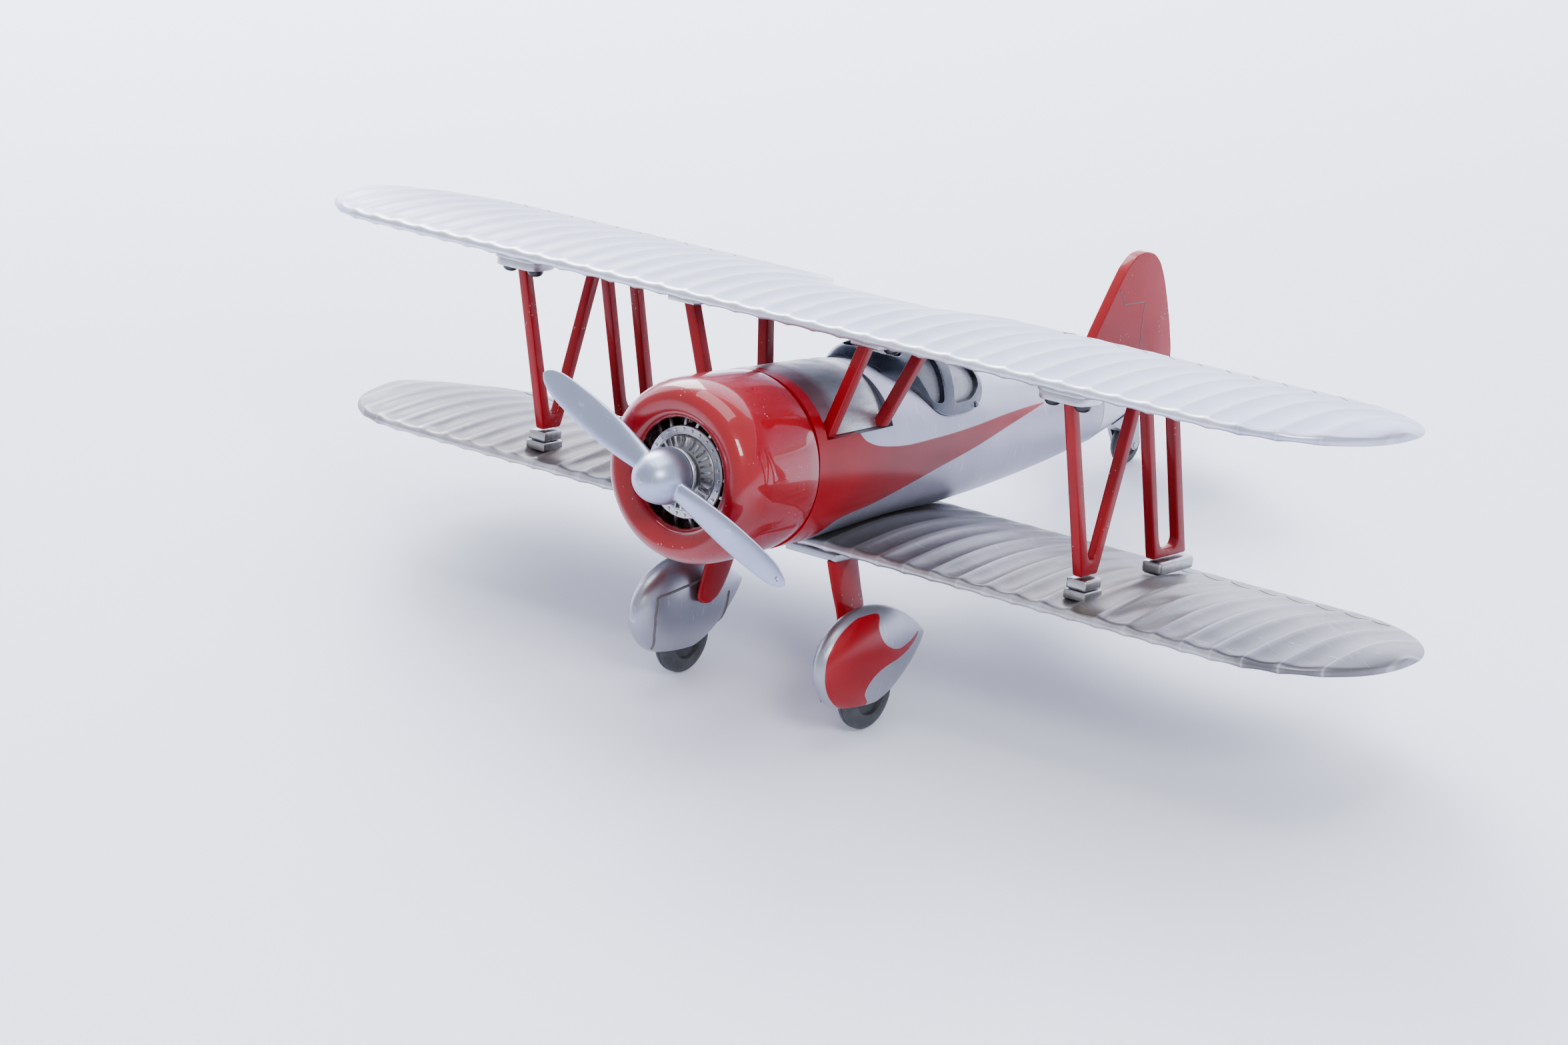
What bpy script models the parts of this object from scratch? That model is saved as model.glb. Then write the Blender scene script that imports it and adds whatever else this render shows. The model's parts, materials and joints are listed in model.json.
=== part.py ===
"""Toy biplane: a die-cast style desk model, built as the separate pieces that it is assembled from.

Every shape is laid out in the aeroplane's own axes, in millimetres: +Y runs aft along the thrust line, +X to
the aeroplane's left, +Z up, and the origin is on the thrust line at the cowl's rear edge. The empty named
airframe then tips the whole model tail-down, so that its three wheels stand on z = 0.
"""

import math

import bmesh
import bpy
from mathutils import Vector

MM = 0.001
GAP = 0.3  # between pieces that touch
RUNNING = 0.08  # radial clearance of a wheel or shaft on its pin

# Wings
HALF_SPAN = 134.4
RIB_PITCH = 6.69
CHORD = 56.0
UPPER_EDGE = (-0.6, 30.9)  # y, z of the middle of the leading edge
LOWER_EDGE = (11.7, -17.2)
UPPER_DROP = 2.0  # trailing edge below leading edge
LOWER_DROP = 0.2
CAMBER = 3.2  # crest of the upper surface above the chord line
BELLY = 0.6  # depth of the lower surface below the chord line
EDGE_RADIUS = 0.95
SCALLOP = 0.65  # sag of the covering between ribs
EDGE_SCALLOP = 0.35  # and how far the leading edge is drawn back there

# Cowl, engine and propeller
COWL_RADIUS = 19.25
COWL_LENGTH = 23.8
COWL_MOUTH = 11.3
LIP_DEPTH = 2.8  # from the crest of the lip back to the mouth
PROP_Y = -26.2
PROP_RADIUS = 36.2
PROP_ANGLE = 24.0  # resting blade, degrees below the wing line
SPINNER_RADIUS = 5.8
SPINNER_TIP_Y = -34.2
SHAFT_RADIUS = 1.0
BLADE_SET = 1.2  # blades forward of the propeller's middle

# Struts and their pads
STRUT_X = 70.9
STRUT_WIDE = 2.3
STRUT_TOP = 25.9
STRUT_LEAN = 0.288  # forward, for each mm of height
PAD_Z = 26.2

# Landing gear
WHEEL = (24.4, 15.6, -46.1)  # centre
WHEEL_RADIUS = 7.9
WHEEL_WIDE = 4.0
TAIL_WHEEL = (0.0, 145.6, -14.4)
TAIL_WHEEL_RADIUS = 4.8
TAIL_WHEEL_WIDE = 3.0
AXLE_RADIUS = 0.7

# Fuselage sections: y, half width, top, bottom
FUSELAGE = (
    (0.4, 18.6, 18.7, -18.6),
    (12.0, 18.4, 18.7, -18.4),
    (25.0, 17.9, 18.3, -18.0),
    (40.0, 16.8, 16.6, -17.5),
    (60.0, 14.9, 13.2, -16.9),
    (80.0, 12.9, 10.3, -15.7),
    (100.0, 10.7, 7.8, -13.9),
    (121.6, 8.2, 5.7, -11.2),
)
TAIL_CONE = (
    (121.9, 8.1, 5.6, -11.1),
    (132.0, 6.6, 5.0, -8.6),
    (142.0, 4.6, 4.5, -5.6),
    (150.0, 2.2, 4.0, -1.6),
)
WALL = 1.6
DECK_NARROW = 0.9  # width of the deck insert against the fuselage around it
DECK = (3.6, 27.4, 7.4)  # start, end and ledge height of the deck insert

# Canopy arches: y, half width at the rail, rail height, crest height
ARCHES = (
    (34.0, 7.5, 15.8, 17.6),
    (37.5, 9.8, 14.2, 20.0),
    (41.5, 12.4, 11.6, 20.6),
    (45.0, 14.2, 8.4, 21.3),
    (49.0, 14.7, 6.7, 21.9),
    (55.0, 14.2, 6.1, 21.7),
    (61.0, 13.4, 6.4, 19.8),
    (66.0, 11.8, 8.0, 16.4),
    (70.0, 8.6, 9.6, 13.4),
)

TAILPLANE_Z = 4.5
TAILPLANE_THICK = 2.0
MIDDLE_Y = -61.0  # puts the middle of the model's length on y = 0

RED = (0.42, 0.012, 0.016)
SILVER = (0.62, 0.63, 0.65)


# ---------------------------------------------------------------- helpers


def clear_scene():
    for obj in list(bpy.data.objects):
        bpy.data.objects.remove(obj, do_unlink=True)


def new_collection(name, hidden=False):
    made = bpy.data.collections.new(name)
    bpy.context.scene.collection.children.link(made)
    made.hide_render = hidden
    return made


def material(name, colour, roughness, metallic=0.0, alpha=1.0):
    made = bpy.data.materials.new(name)
    made.use_nodes = True
    shader = made.node_tree.nodes["Principled BSDF"]
    shader.inputs["Base Color"].default_value = (*colour, 1.0)
    shader.inputs["Roughness"].default_value = roughness
    shader.inputs["Metallic"].default_value = metallic
    shader.inputs["Alpha"].default_value = alpha
    made.diffuse_color = (*colour, alpha)
    return made


def place(obj, finish, location=(0, 0, 0), rotation=(0, 0, 0)):
    """Puts a piece in the airframe; location in mm, rotation in degrees."""
    (cutters if finish is None else parts).objects.link(obj)
    obj.parent = airframe
    obj.location = Vector(location) * MM
    obj.rotation_euler = [math.radians(turn) for turn in rotation]
    if finish is None:
        obj.hide_render = True
        obj.display_type = "WIRE"
    else:
        obj.data.materials.append(finish)
    return obj


def from_bmesh(name, mesh, finish, sharp=35, **where):
    bmesh.ops.recalc_face_normals(mesh, faces=mesh.faces)
    data = bpy.data.meshes.new(name)
    mesh.to_mesh(data)
    mesh.free()
    data.transform([[MM, 0, 0, 0], [0, MM, 0, 0], [0, 0, MM, 0], [0, 0, 0, 1]])
    data.shade_smooth()
    data.set_sharp_from_angle(angle=math.radians(sharp))
    return place(bpy.data.objects.new(name, data), finish, **where)


def bevel(obj, width, segments=2, angle=35):
    made = obj.modifiers.new("bevel", "BEVEL")
    made.width = width * MM
    made.segments = segments
    made.limit_method = "ANGLE"
    made.angle_limit = math.radians(angle)
    return obj


def box(name, size, centre, finish, edge=0.0, rotation=(0, 0, 0)):
    mesh = bmesh.new()
    bmesh.ops.create_cube(mesh, size=1.0)
    bmesh.ops.scale(mesh, vec=size, verts=mesh.verts)
    obj = from_bmesh(name, mesh, finish, location=centre, rotation=rotation)
    return bevel(obj, edge) if edge else obj


def cylinder(name, radius, length, centre, finish, axis="X", sides=24, edge=0.0, radius2=None):
    """A cylinder or cone whose +Z end turns to +X, -Y or +Z."""
    mesh = bmesh.new()
    tip = radius if radius2 is None else radius2
    bmesh.ops.create_cone(
        mesh, cap_ends=True, segments=sides, radius1=radius, radius2=tip, depth=length
    )
    turn = {"X": (0, 90, 0), "Y": (90, 0, 0), "Z": (0, 0, 0)}[axis]
    obj = from_bmesh(name, mesh, finish, location=centre, rotation=turn)
    return bevel(obj, edge) if edge else obj


def turned(name, profile, finish, steps=48, ring=False, **where):
    """A profile of (radius, height) turned about local Z; a ring's profile closes on itself."""
    mesh = bmesh.new()
    points = [mesh.verts.new((radius, 0, height)) for radius, height in profile]
    for first, second in zip(points, points[1:]):
        mesh.edges.new((first, second))
    if ring:
        mesh.edges.new((points[-1], points[0]))
    data = bpy.data.meshes.new(name)
    mesh.to_mesh(data)
    mesh.free()
    data.transform([[MM, 0, 0, 0], [0, MM, 0, 0], [0, 0, MM, 0], [0, 0, 0, 1]])
    obj = place(bpy.data.objects.new(name, data), finish, **where)
    screw = obj.modifiers.new("turn", "SCREW")
    screw.axis = "Z"
    screw.steps = screw.render_steps = steps
    screw.use_merge_vertices = True
    screw.merge_threshold = 1e-6
    screw.use_smooth_shade = True
    return obj


def arc(radius, start, end, count):
    """Points of an arc about the origin, angles in degrees."""
    turns = [math.radians(start + (end - start) * i / count) for i in range(count + 1)]
    return [(radius * math.cos(turn), radius * math.sin(turn)) for turn in turns]


def plate(name, outline, thickness, finish, edge=0.0, segments=1, x=0.0, flat=None):
    """A side view of (y, z) points, thick along X and centred on x; or, with flat, a plan lying at that z."""
    curve = bpy.data.curves.new(name, "CURVE")
    curve.dimensions = "2D"
    curve.fill_mode = "BOTH"
    curve.extrude = thickness / 2 * MM
    spline = curve.splines.new("POLY")
    spline.points.add(len(outline) - 1)
    for point, (across, up) in zip(spline.points, outline):
        point.co = (across * MM, up * MM, 0, 1)
    spline.use_cyclic_u = True
    where = (x, 0, 0) if flat is None else (0, 0, flat)
    turn = (90, 0, 90) if flat is None else (0, 0, 0)
    obj = place(bpy.data.objects.new(name, curve), finish, where, turn)
    weld = obj.modifiers.new("weld", "WELD")
    weld.merge_threshold = 1e-6
    return bevel(obj, edge, segments) if edge else obj


def as_mesh(obj):
    """The same object with its curve and modifiers turned into a plain mesh, so that it can be cut."""
    bpy.context.view_layer.update()
    graph = bpy.context.evaluated_depsgraph_get()
    data = bpy.data.meshes.new_from_object(obj.evaluated_get(graph))
    mesh = bmesh.new()
    mesh.from_mesh(data)
    bmesh.ops.remove_doubles(mesh, verts=mesh.verts, dist=1e-6)
    mesh.to_mesh(data)
    mesh.free()
    name = obj.name
    made = bpy.data.objects.new(name + "_mesh", data)
    made.parent = airframe
    made.location = obj.location
    made.rotation_euler = obj.rotation_euler
    made.hide_render = obj.hide_render
    made.display_type = obj.display_type
    obj.users_collection[0].objects.link(made)
    bpy.data.objects.remove(obj, do_unlink=True)
    made.name = name
    return made


def boolean(obj, other, operation="DIFFERENCE"):
    made = obj.modifiers.new(operation.lower(), "BOOLEAN")
    made.operation = operation
    made.object = other
    made.solver = "EXACT"
    return obj


def loft(name, rings, finish, sharp=35, **where):
    """A closed skin through rings of points, each ring as long as the last, with flat ends."""
    mesh = bmesh.new()
    made = [[mesh.verts.new(point) for point in ring] for ring in rings]
    for first, second in zip(made, made[1:]):
        count = len(first)
        for i in range(count):
            j = (i + 1) % count
            mesh.faces.new((first[i], first[j], second[j], second[i]))
    mesh.faces.new(made[0])
    mesh.faces.new(made[-1])
    return from_bmesh(name, mesh, finish, sharp, **where)


def blend(table, y):
    """Smooth values between the rows of a table whose first column is y."""
    if y <= table[0][0]:
        return table[0][1:]
    if y >= table[-1][0]:
        return table[-1][1:]
    for i, row in enumerate(table[:-1]):
        after = table[i + 1]
        if y <= after[0]:
            before = table[max(i - 1, 0)]
            beyond = table[min(i + 2, len(table) - 1)]
            span = after[0] - row[0]
            t = (y - row[0]) / span
            out = []
            for column in range(1, len(row)):
                slope1 = (after[column] - before[column]) / (after[0] - before[0]) * span
                slope2 = (beyond[column] - row[column]) / (beyond[0] - row[0]) * span
                out.append(
                    (2 * t**3 - 3 * t**2 + 1) * row[column]
                    + (t**3 - 2 * t**2 + t) * slope1
                    + (-2 * t**3 + 3 * t**2) * after[column]
                    + (t**3 - t**2) * slope2
                )
            return tuple(out)


# ---------------------------------------------------------------- wings


def wing_outline(x):
    """Leading and trailing edge of the wing plan at span station x, as distances aft of the straight edge."""
    x = abs(x)
    tip_y = 31.0
    front_start, rear_start = 106.0, 108.0
    front_power, rear_power = 2.15, 1.9
    lead, trail = 0.0, CHORD
    if x > front_start:
        t = min((x - front_start) / (HALF_SPAN - front_start), 1.0)
        lead = tip_y * (1 - (1 - t**front_power) ** (1 / front_power))
    if x > rear_start:
        t = min((x - rear_start) / (HALF_SPAN - rear_start), 1.0)
        trail = tip_y + (CHORD - tip_y) * (1 - t**rear_power) ** (1 / rear_power)
    return lead, trail


def cut_out(x):
    """Depth of the notch in the upper wing's trailing edge at span station x."""
    half, depth, blend_out = 24.0, 8.0, 8.0
    t = min(max((half - abs(x)) / blend_out, 0.0), 1.0)
    return depth * t * t * (3 - 2 * t)


def airfoil(x, drop, notch, count=6):
    """One closed section at span station x, as (y, z) from the leading edge: over the top, then back."""
    lead, trail = wing_outline(x)
    if notch:
        trail = min(trail, CHORD - cut_out(x))
    chord = max(trail - lead, 1.2)
    full = chord / CHORD
    bulge = full**0.5
    bay = abs(x) / RIB_PITCH
    between = bay - math.floor(bay)
    scallop = 4 * between * (1 - between) if abs(x) < HALF_SPAN - 5 else 0.0
    sag = SCALLOP * scallop
    lead += EDGE_SCALLOP * scallop
    top, bottom = [], []
    for i in range(count + 1):
        t = (1 - math.cos(math.pi * i / count)) / 2
        y = lead + chord * t
        line = -drop * y / CHORD
        nose = math.sqrt(max(1 - (1 - min(t / 0.04, 1)) ** 2, 0))
        body = math.sin(math.pi * t**0.93)
        thick = 0.95 * (1 - t) ** 3 + 0.3
        fade = min(t / 0.1, 1) * min((1 - t) / 0.12, 1)
        top.append((y, line + (EDGE_RADIUS * nose * thick + CAMBER * body - sag * fade) * bulge))
        bottom.append(
            (y, line - (EDGE_RADIUS * nose * thick + BELLY * body - 0.4 * sag * fade) * bulge)
        )
    return top + bottom[-1:0:-1]


def wing(name, edge, drop, notch, finish):
    bays = int((HALF_SPAN - 4) / RIB_PITCH)
    right = [RIB_PITCH * step / 2 for step in range(0, 2 * bays + 1)]
    right += [x for x in (130.6, 132.8, 133.8, 134.3) if x > right[-1] + 0.5]
    stations = [-x for x in reversed(right[1:])] + right
    rings = [
        [(x, edge[0] + y, edge[1] + z) for y, z in airfoil(x, drop, notch)] for x in stations
    ]
    return loft(name, rings, finish, sharp=50)


# ---------------------------------------------------------------- fuselage


def superellipse(wide, half, turn, power=2.15):
    c, s = math.cos(turn), math.sin(turn)
    return (
        wide * math.copysign(abs(c) ** (2 / power), c),
        half * math.copysign(abs(s) ** (2 / power), s),
    )


def hull_ring(y, table, inset=0.0, narrow=1.0, count=28):
    """One oval cross-section of the fuselage."""
    wide, top, bottom = blend(table, y)
    wide *= narrow
    middle = (top + bottom) / 2
    ring = []
    for i in range(count):
        across, up = superellipse(
            wide - inset, (top - bottom) / 2 - inset, 2 * math.pi * (i + 0.5) / count
        )
        ring.append((across, y, middle + up))
    return ring


def hull(name, table, start, end, finish, steps=14, inset=0.0, narrow=1.0):
    ys = [start + (end - start) * i / steps for i in range(steps + 1)]
    return loft(name, [hull_ring(y, table, inset, narrow) for y in ys], finish)


def wing_saddle():
    """What the lower wing's centre takes out of the fuselage's belly."""
    roof = airfoil(0.0, LOWER_DROP, False)[1:6]
    lead, base = LOWER_EDGE
    clear = GAP + 0.1
    outline = [(lead - clear, -30.0), (lead - clear, base + 1.0)]
    outline += [(lead + y, base + z + clear) for y, z in roof]
    outline += [(lead + CHORD + clear, base + 1.0), (lead + CHORD + clear, -30.0)]
    return as_mesh(plate("wing_saddle", outline, 60.0, None))


def fuselage_pieces(silver, grey, metal):
    body = hull("fuselage_body", FUSELAGE, 0.4, 121.6, silver, steps=9)
    start, end, ledge = DECK
    boolean(body, hull("fuselage_hollow", FUSELAGE, -1.0, 117.0, None, steps=6, inset=WALL))
    deck_long = end - start
    middle = (start + end) / 2
    boolean(body, box("deck_bay", (50, deck_long, 30), (0, middle, ledge + 15), None))
    boolean(body, wing_saddle())
    boolean(body, canopy_solid("cockpit_opening", -GAP, GAP))

    deck = hull("top_deck", FUSELAGE, 1.0, 28.0, grey, steps=4, narrow=DECK_NARROW)
    hollow = hull(
        "deck_hollow", FUSELAGE, -2.0, 31.0, None, steps=5, inset=2.6, narrow=DECK_NARROW
    )
    boolean(deck, hollow)
    trim_size = (50, deck_long - 2 * GAP, 30)
    trim = box("deck_trim", trim_size, (0, middle, ledge + GAP + 15), None)
    boolean(deck, trim, "INTERSECT")

    cone = hull("tail_cone", TAIL_CONE, 121.9, 150.0, silver, steps=6)
    seat = box("tailplane_seat", (30, 40, 10), (0, 144.2, TAILPLANE_Z - 1.3 + 5), None)
    boolean(cone, seat)

    cylinder("firewall", 15.9, 1.6, (0, 2.4, 0), metal, axis="Y", sides=28)


def canopy_ring(y, inset, drop, count=10):
    """An arch from rail to rail over the cockpit, closed straight across below the rail."""
    wide, rail, crest = blend(ARCHES, y)
    wide -= inset
    points = [(wide, y, rail - drop)] if drop else []
    for i in range(count + 1):
        turn = math.pi * i / count
        across, up = superellipse(wide, crest - inset - rail, turn, 2.3)
        points.append((across, y, rail + max(up, 0.0)))
    if drop:
        points.append((-wide, y, rail - drop))
    return points


def canopy_solid(name, inset, drop, finish=None, steps=7):
    first, last = ARCHES[0][0] + inset, ARCHES[-1][0] - inset
    ys = [first + (last - first) * i / steps for i in range(steps + 1)]
    return loft(name, [canopy_ring(y, inset, drop) for y in ys], finish, sharp=50)


def canopy(dark, clear, cabin):
    """Framed canopy, the clear liner that shows through it, and a plain tub below."""
    frame = canopy_solid("canopy_frame", 0.0, 0.0, dark)
    boolean(frame, canopy_solid("frame_hollow", 1.2, 3.0))
    front_pane = [(44.6, 10.2), (48.2, 9.4), (48.2, 18.6), (40.6, 17.8), (41.8, 14.8)]
    rear_pane = [(52.2, 8.8), (59.6, 8.9), (63.0, 10.4), (64.2, 12.4), (62.4, 14.8), (57, 17.6)]
    rear_pane.append((52.2, 18.4))
    for name, outline in (("front_pane", front_pane), ("rear_pane", rear_pane)):
        boolean(frame, as_mesh(plate(name, outline, 60.0, None)))
    for name, start, end in (("roof_front", 43.5, 48.2), ("roof_rear", 52.2, 60.0)):
        size = (13.0, end - start, 10)
        boolean(frame, box(name, size, (0, (start + end) / 2, 26.0), None))
    for sign in (1, -1):
        screen = [(1.0, 36.6), (5.0, 37.2), (7.4, 39.2), (7.4, 41.0), (1.0, 41.0)]
        screen = [(sign * x, y) for x, y in screen]
        cut = plate(f"screen_{sign + 1}", screen, 30.0, None, flat=26.0)
        boolean(frame, as_mesh(cut))

    glass = canopy_solid("canopy_glass", 1.5, 0.0, clear)
    boolean(glass, canopy_solid("glass_hollow", 2.2, 3.0))

    tub = box("cockpit_tub", (21.0, 30.0, 7.0), (0, 52.5, 1.2), cabin)
    boolean(tub, box("tub_hollow", (19.0, 28.0, 7.0), (0, 52.5, 2.4), None))
    for name, y in (("front_seat", 46.5), ("rear_seat", 60.0)):
        boolean(tub, box(name, (9.0, 2.0, 9.0), (0, y, 3.2), None), "UNION")


# ---------------------------------------------------------------- engine and propeller


def cowl(finish):
    outer, belt = COWL_RADIUS, 15.0
    inner = outer - 1.5
    lip = (outer + COWL_MOUTH) / 2
    profile = [(outer - 0.45, 0.0), (outer - 0.1, 8.0)]
    for i in range(5):
        turn = math.pi / 2 * i / 4
        reach = (COWL_LENGTH - belt) * math.sin(turn) ** 0.85 if i else 0.0
        profile.append((lip + (outer - lip) * math.cos(turn), belt + reach))
    for i in range(1, 5):
        turn = math.pi / 2 * i / 4
        depth = LIP_DEPTH * (1 - math.cos(turn))
        profile.append((lip - (lip - COWL_MOUTH) * math.sin(turn), COWL_LENGTH - depth))
    profile += [(COWL_MOUTH + 1.0, COWL_LENGTH - LIP_DEPTH - 0.8), (inner - 1.8, belt + 2.0)]
    profile += [(inner, belt - 3.0), (inner - 0.3, 0.0)]
    turned("cowl", profile[::-1], finish, steps=40, ring=True, rotation=(90, 0, 0))


def spoke(name, inner, outer, radius, angle, y, sides):
    """A round bar that points outwards from the thrust line, at an angle from +X towards +Z."""
    turn = math.radians(angle)
    middle = (inner + outer) / 2
    bar = cylinder(
        name, radius, outer - inner, (middle * math.cos(turn), y, middle * math.sin(turn)), None,
        axis="X", sides=sides,
    )
    bar.rotation_euler = (0, math.pi / 2 - turn, 0)
    return bar


def engine(metal, dark, disc):
    """Nine cylinders and their pushrods round a crankcase, a riveted baffle ring, a ribbed nose case."""
    y = -10.0
    bore = SHAFT_RADIUS + 0.5
    block_profile = [(9.0, 14.2), (9.0, 5.6), (bore, 5.6), (bore, 14.2)]
    block = turned(
        "engine_cylinders", block_profile, metal, steps=28, ring=True, rotation=(90, 0, 0)
    )
    block = as_mesh(block)
    for number in range(9):
        angle = 90 + 360 * number / 9
        boolean(block, spoke(f"barrel_{number}", 8.0, 16.8, 2.7, angle, y, 10), "UNION")
        for offset in (-9, 9):
            rod = spoke(f"rod_{number}_{offset}", 8.0, 15.8, 0.45, angle + offset, y - 3.4, 5)
            boolean(block, rod, "UNION")

    ring = [(9.6, 20.4), (9.6, 14.5), (6.6, 14.5), (6.6, 20.4)]
    ring = as_mesh(turned("engine_disc", ring, disc, steps=28, ring=True, rotation=(90, 0, 0)))
    for number in range(18):
        turn = 2 * math.pi * number / 18
        where = (8.8 * math.cos(turn), -20.4, 8.8 * math.sin(turn))
        boolean(ring, cylinder(f"rivet_{number}", 0.33, 0.8, where, None, "Y", 5), "UNION")

    hole = SHAFT_RADIUS + RUNNING
    case = [(hole, 21.7), (4.7, 21.7), (5.0, 20.8), (6.1, 18.6), (6.2, 14.6), (hole, 14.6)]
    turned("engine_nose_case", case, dark, steps=24, ring=True, rotation=(90, 0, 0))


def blade_ring(along):
    """A blade's section at a fraction of its length; width, thickness and pitch change along it."""
    root = 4.2
    radius = root + (PROP_RADIUS - root) * along
    swell = math.sin(math.pi * min(along * 0.62 + 0.18, 1.0)) ** 0.9
    round_off = math.sqrt(max(1 - max((along - 0.84) / 0.16, 0) ** 2, 0.03))
    half_wide = 3.5 * swell * round_off + 0.1
    thick = (1.5 - 1.05 * along) * max(round_off, 0.4)
    pitch = math.radians(14 * along - 20)
    ring = []
    for i in range(8):
        turn = 2 * math.pi * i / 8
        across, deep = half_wide * math.cos(turn), thick * math.sin(turn)
        y = across * math.sin(pitch) + deep * math.cos(pitch) - BLADE_SET
        z = across * math.cos(pitch) - deep * math.sin(pitch)
        ring.append((radius, y, z))
    return ring


def propeller(silver, dark, metal):
    """Spinner and both blades are one casting, with the shaft's end showing in the spinner's nose."""
    reach = PROP_Y - SPINNER_TIP_Y
    dome = []
    for i in range(1, 8):
        turn = math.pi / 2 * i / 7
        dome.append((SPINNER_RADIUS * math.sin(turn) ** 0.92, reach * math.cos(turn)))
    grip = SHAFT_RADIUS + GAP
    pip, nose_wall = 0.5, 1.8
    nose = [(pip, reach * 0.99), *dome, (SPINNER_RADIUS, -1.6), (grip, -1.6)]
    nose += [(grip, reach - nose_wall), (pip, reach - nose_wall)]
    where = {"location": (0, PROP_Y, 0), "rotation": (90, 0, 0)}
    hub = as_mesh(turned("propeller", nose, silver, steps=24, ring=True, **where))
    for number in range(2):
        rings = [blade_ring(i / 8) for i in range(9)]
        blade = loft(f"blade_{number}", rings, None, location=(0, PROP_Y, 0))
        blade.rotation_euler = (0, math.radians(PROP_ANGLE + 180 * number), 0)
        boolean(hub, blade, "UNION")
    turn = math.radians(PROP_ANGLE)
    out = PROP_RADIUS - 2.2
    dimple = (out * math.cos(turn), PROP_Y - BLADE_SET, -out * math.sin(turn))
    boolean(hub, cylinder("tip_dimple", 0.45, 8, dimple, None, axis="Y", sides=8))

    rim = SPINNER_RADIUS - 0.1
    back = [(grip, 1.7), (rim, 1.7), (rim - 0.5, 0.0), (grip, 0.0)]
    where = {"location": (0, PROP_Y + 3.6, 0), "rotation": (90, 0, 0)}
    turned("spinner_backplate", back, dark, steps=24, ring=True, **where)

    start, end = SPINNER_TIP_Y + nose_wall + GAP, -8.0
    cylinder("prop_shaft", SHAFT_RADIUS, end - start, (0, (start + end) / 2, 0), metal, "Y", 20)


# ---------------------------------------------------------------- struts and pads


def mirrored(build, *finishes):
    for side, sign in (("left", 1), ("right", -1)):
        build(side, sign, *finishes)


def leaning(foot_y, z, foot_z=-11.0):
    """Where a strut edge that starts at foot_y has got to at height z."""
    return foot_y - STRUT_LEAN * (z - foot_z)


def outer_struts(side, sign, red):
    x = sign * STRUT_X
    top = STRUT_TOP
    front = 18.3
    v_shape = [
        (front, -10.9),
        (leaning(front, top), top),
        (leaning(front, top) + 2.7, top),
        (20.2, -6.6),
        (20.9, -7.6),
        (22.3, -7.6),
        (22.9, -6.8),
        (32.0, top),
        (34.8, top),
        (24.9, -9.0),
        (24.2, -10.9),
    ]
    plate(f"strut_v_{side}", v_shape, STRUT_WIDE, red, edge=0.5, x=x)
    rear = 45.2
    u_shape = [
        (rear, -11.2),
        (leaning(rear, top), top),
        (leaning(rear, top) + 2.7, top),
        (46.7, -7.4),
        (48.0, -9.2),
        (52.6, -9.6),
        (53.7, -8.2),
        (leaning(rear, top) + 9.6, top),
        (leaning(rear, top) + 12.4, top),
        (rear + 12.4, -11.2),
    ]
    plate(f"strut_u_{side}", u_shape, STRUT_WIDE, red, edge=0.5, x=x)


def outer_pads(side, sign, silver, black):
    x = sign * (STRUT_X - 0.2)
    front = box(f"wing_pad_front_{side}", (12.2, 9.4, 1.2), (x, 8.9, 28.55), silver, edge=0.5)
    tier = box(f"pad_tier_{side}", (11.6, 8.6, 2.4), (x, 8.9, PAD_Z + 1.2), None)
    boolean(front, bevel(tier, 0.9), "UNION")
    box(f"wing_pad_rear_{side}", (5.4, 17.6, 2.0), (x, 40.2, PAD_Z + 1.0), silver, edge=0.5)
    for number, step in (("inner", -3.5), ("outer", 3.5)):
        screw(f"pad_screw_{side}_{number}", (x + sign * step, 8.2, PAD_Z - GAP), black)


def screw(name, head, finish):
    """The domed head of a screw that comes up from below; the point given is its top face."""
    profile = [(0.0, 0.0), (1.75, 0.0), (1.75, -0.4), (1.3, -1.0), (0.0, -1.25)]
    turned(name, profile, finish, steps=12, location=head)


def feet(side, sign, bright):
    x = sign * (STRUT_X + 0.3)
    box(f"strut_foot_front_{side}", (4.8, 6.0, 2.3), (x, 20.8, -12.4), bright, edge=0.5)
    box(f"wing_socket_{side}", (5.2, 6.4, 1.7), (x, 20.8, -14.7), bright, edge=0.2)
    recess = box(f"socket_recess_{side}", (5.8, 7.0, 6.0), (x, 20.8, -12.85), None)
    boolean(bpy.data.objects["lower_wing"], recess)
    box(f"strut_foot_rear_{side}", (4.8, 13.2, 1.9), (x, 52.2, -12.55), bright, edge=0.6)


def bar(name, foot, head, half, finish):
    """A square bar from foot to head, each end level."""
    rings = []
    for x, y, z in (foot, head):
        corners = ((-half, -half), (half, -half), (half, half), (-half, half))
        rings.append([(x + across, y + along, z) for across, along in corners])
    return loft(name, rings, finish)


def cabane(side, sign, red, silver, black):
    """Two splayed struts a side, from the deck's edge to a long pad under the upper wing."""
    half = 1.35
    seat = hull(
        f"cabane_seat_{side}", FUSELAGE, 1.0, 28.0, None, steps=4, inset=-GAP, narrow=DECK_NARROW
    )
    front = bar(
        f"cabane_front_{side}", (sign * 15.3, 6.1, 7.8), (sign * 22.5, 6.4, 27.7), half, red
    )
    rear = bar(
        f"cabane_rear_{side}", (sign * 15.2, 24.5, 7.8), (sign * 21.4, 30.2, 26.7), half, red
    )
    for strut in (front, rear):
        bevel(boolean(strut, seat), 0.4, segments=1)
    tilt = -math.degrees(math.atan2(UPPER_DROP, CHORD))
    place_of_pad = (sign * 23.85, 18.9, 28.15)
    turn = (tilt, 0, 0)
    box(f"cabane_pad_{side}", (7.3, 30.0, 1.5), place_of_pad, silver, edge=0.4, rotation=turn)
    screw(f"cabane_screw_{side}", (sign * 26.0, 10.4, 27.6), black)


# ---------------------------------------------------------------- landing gear


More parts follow.
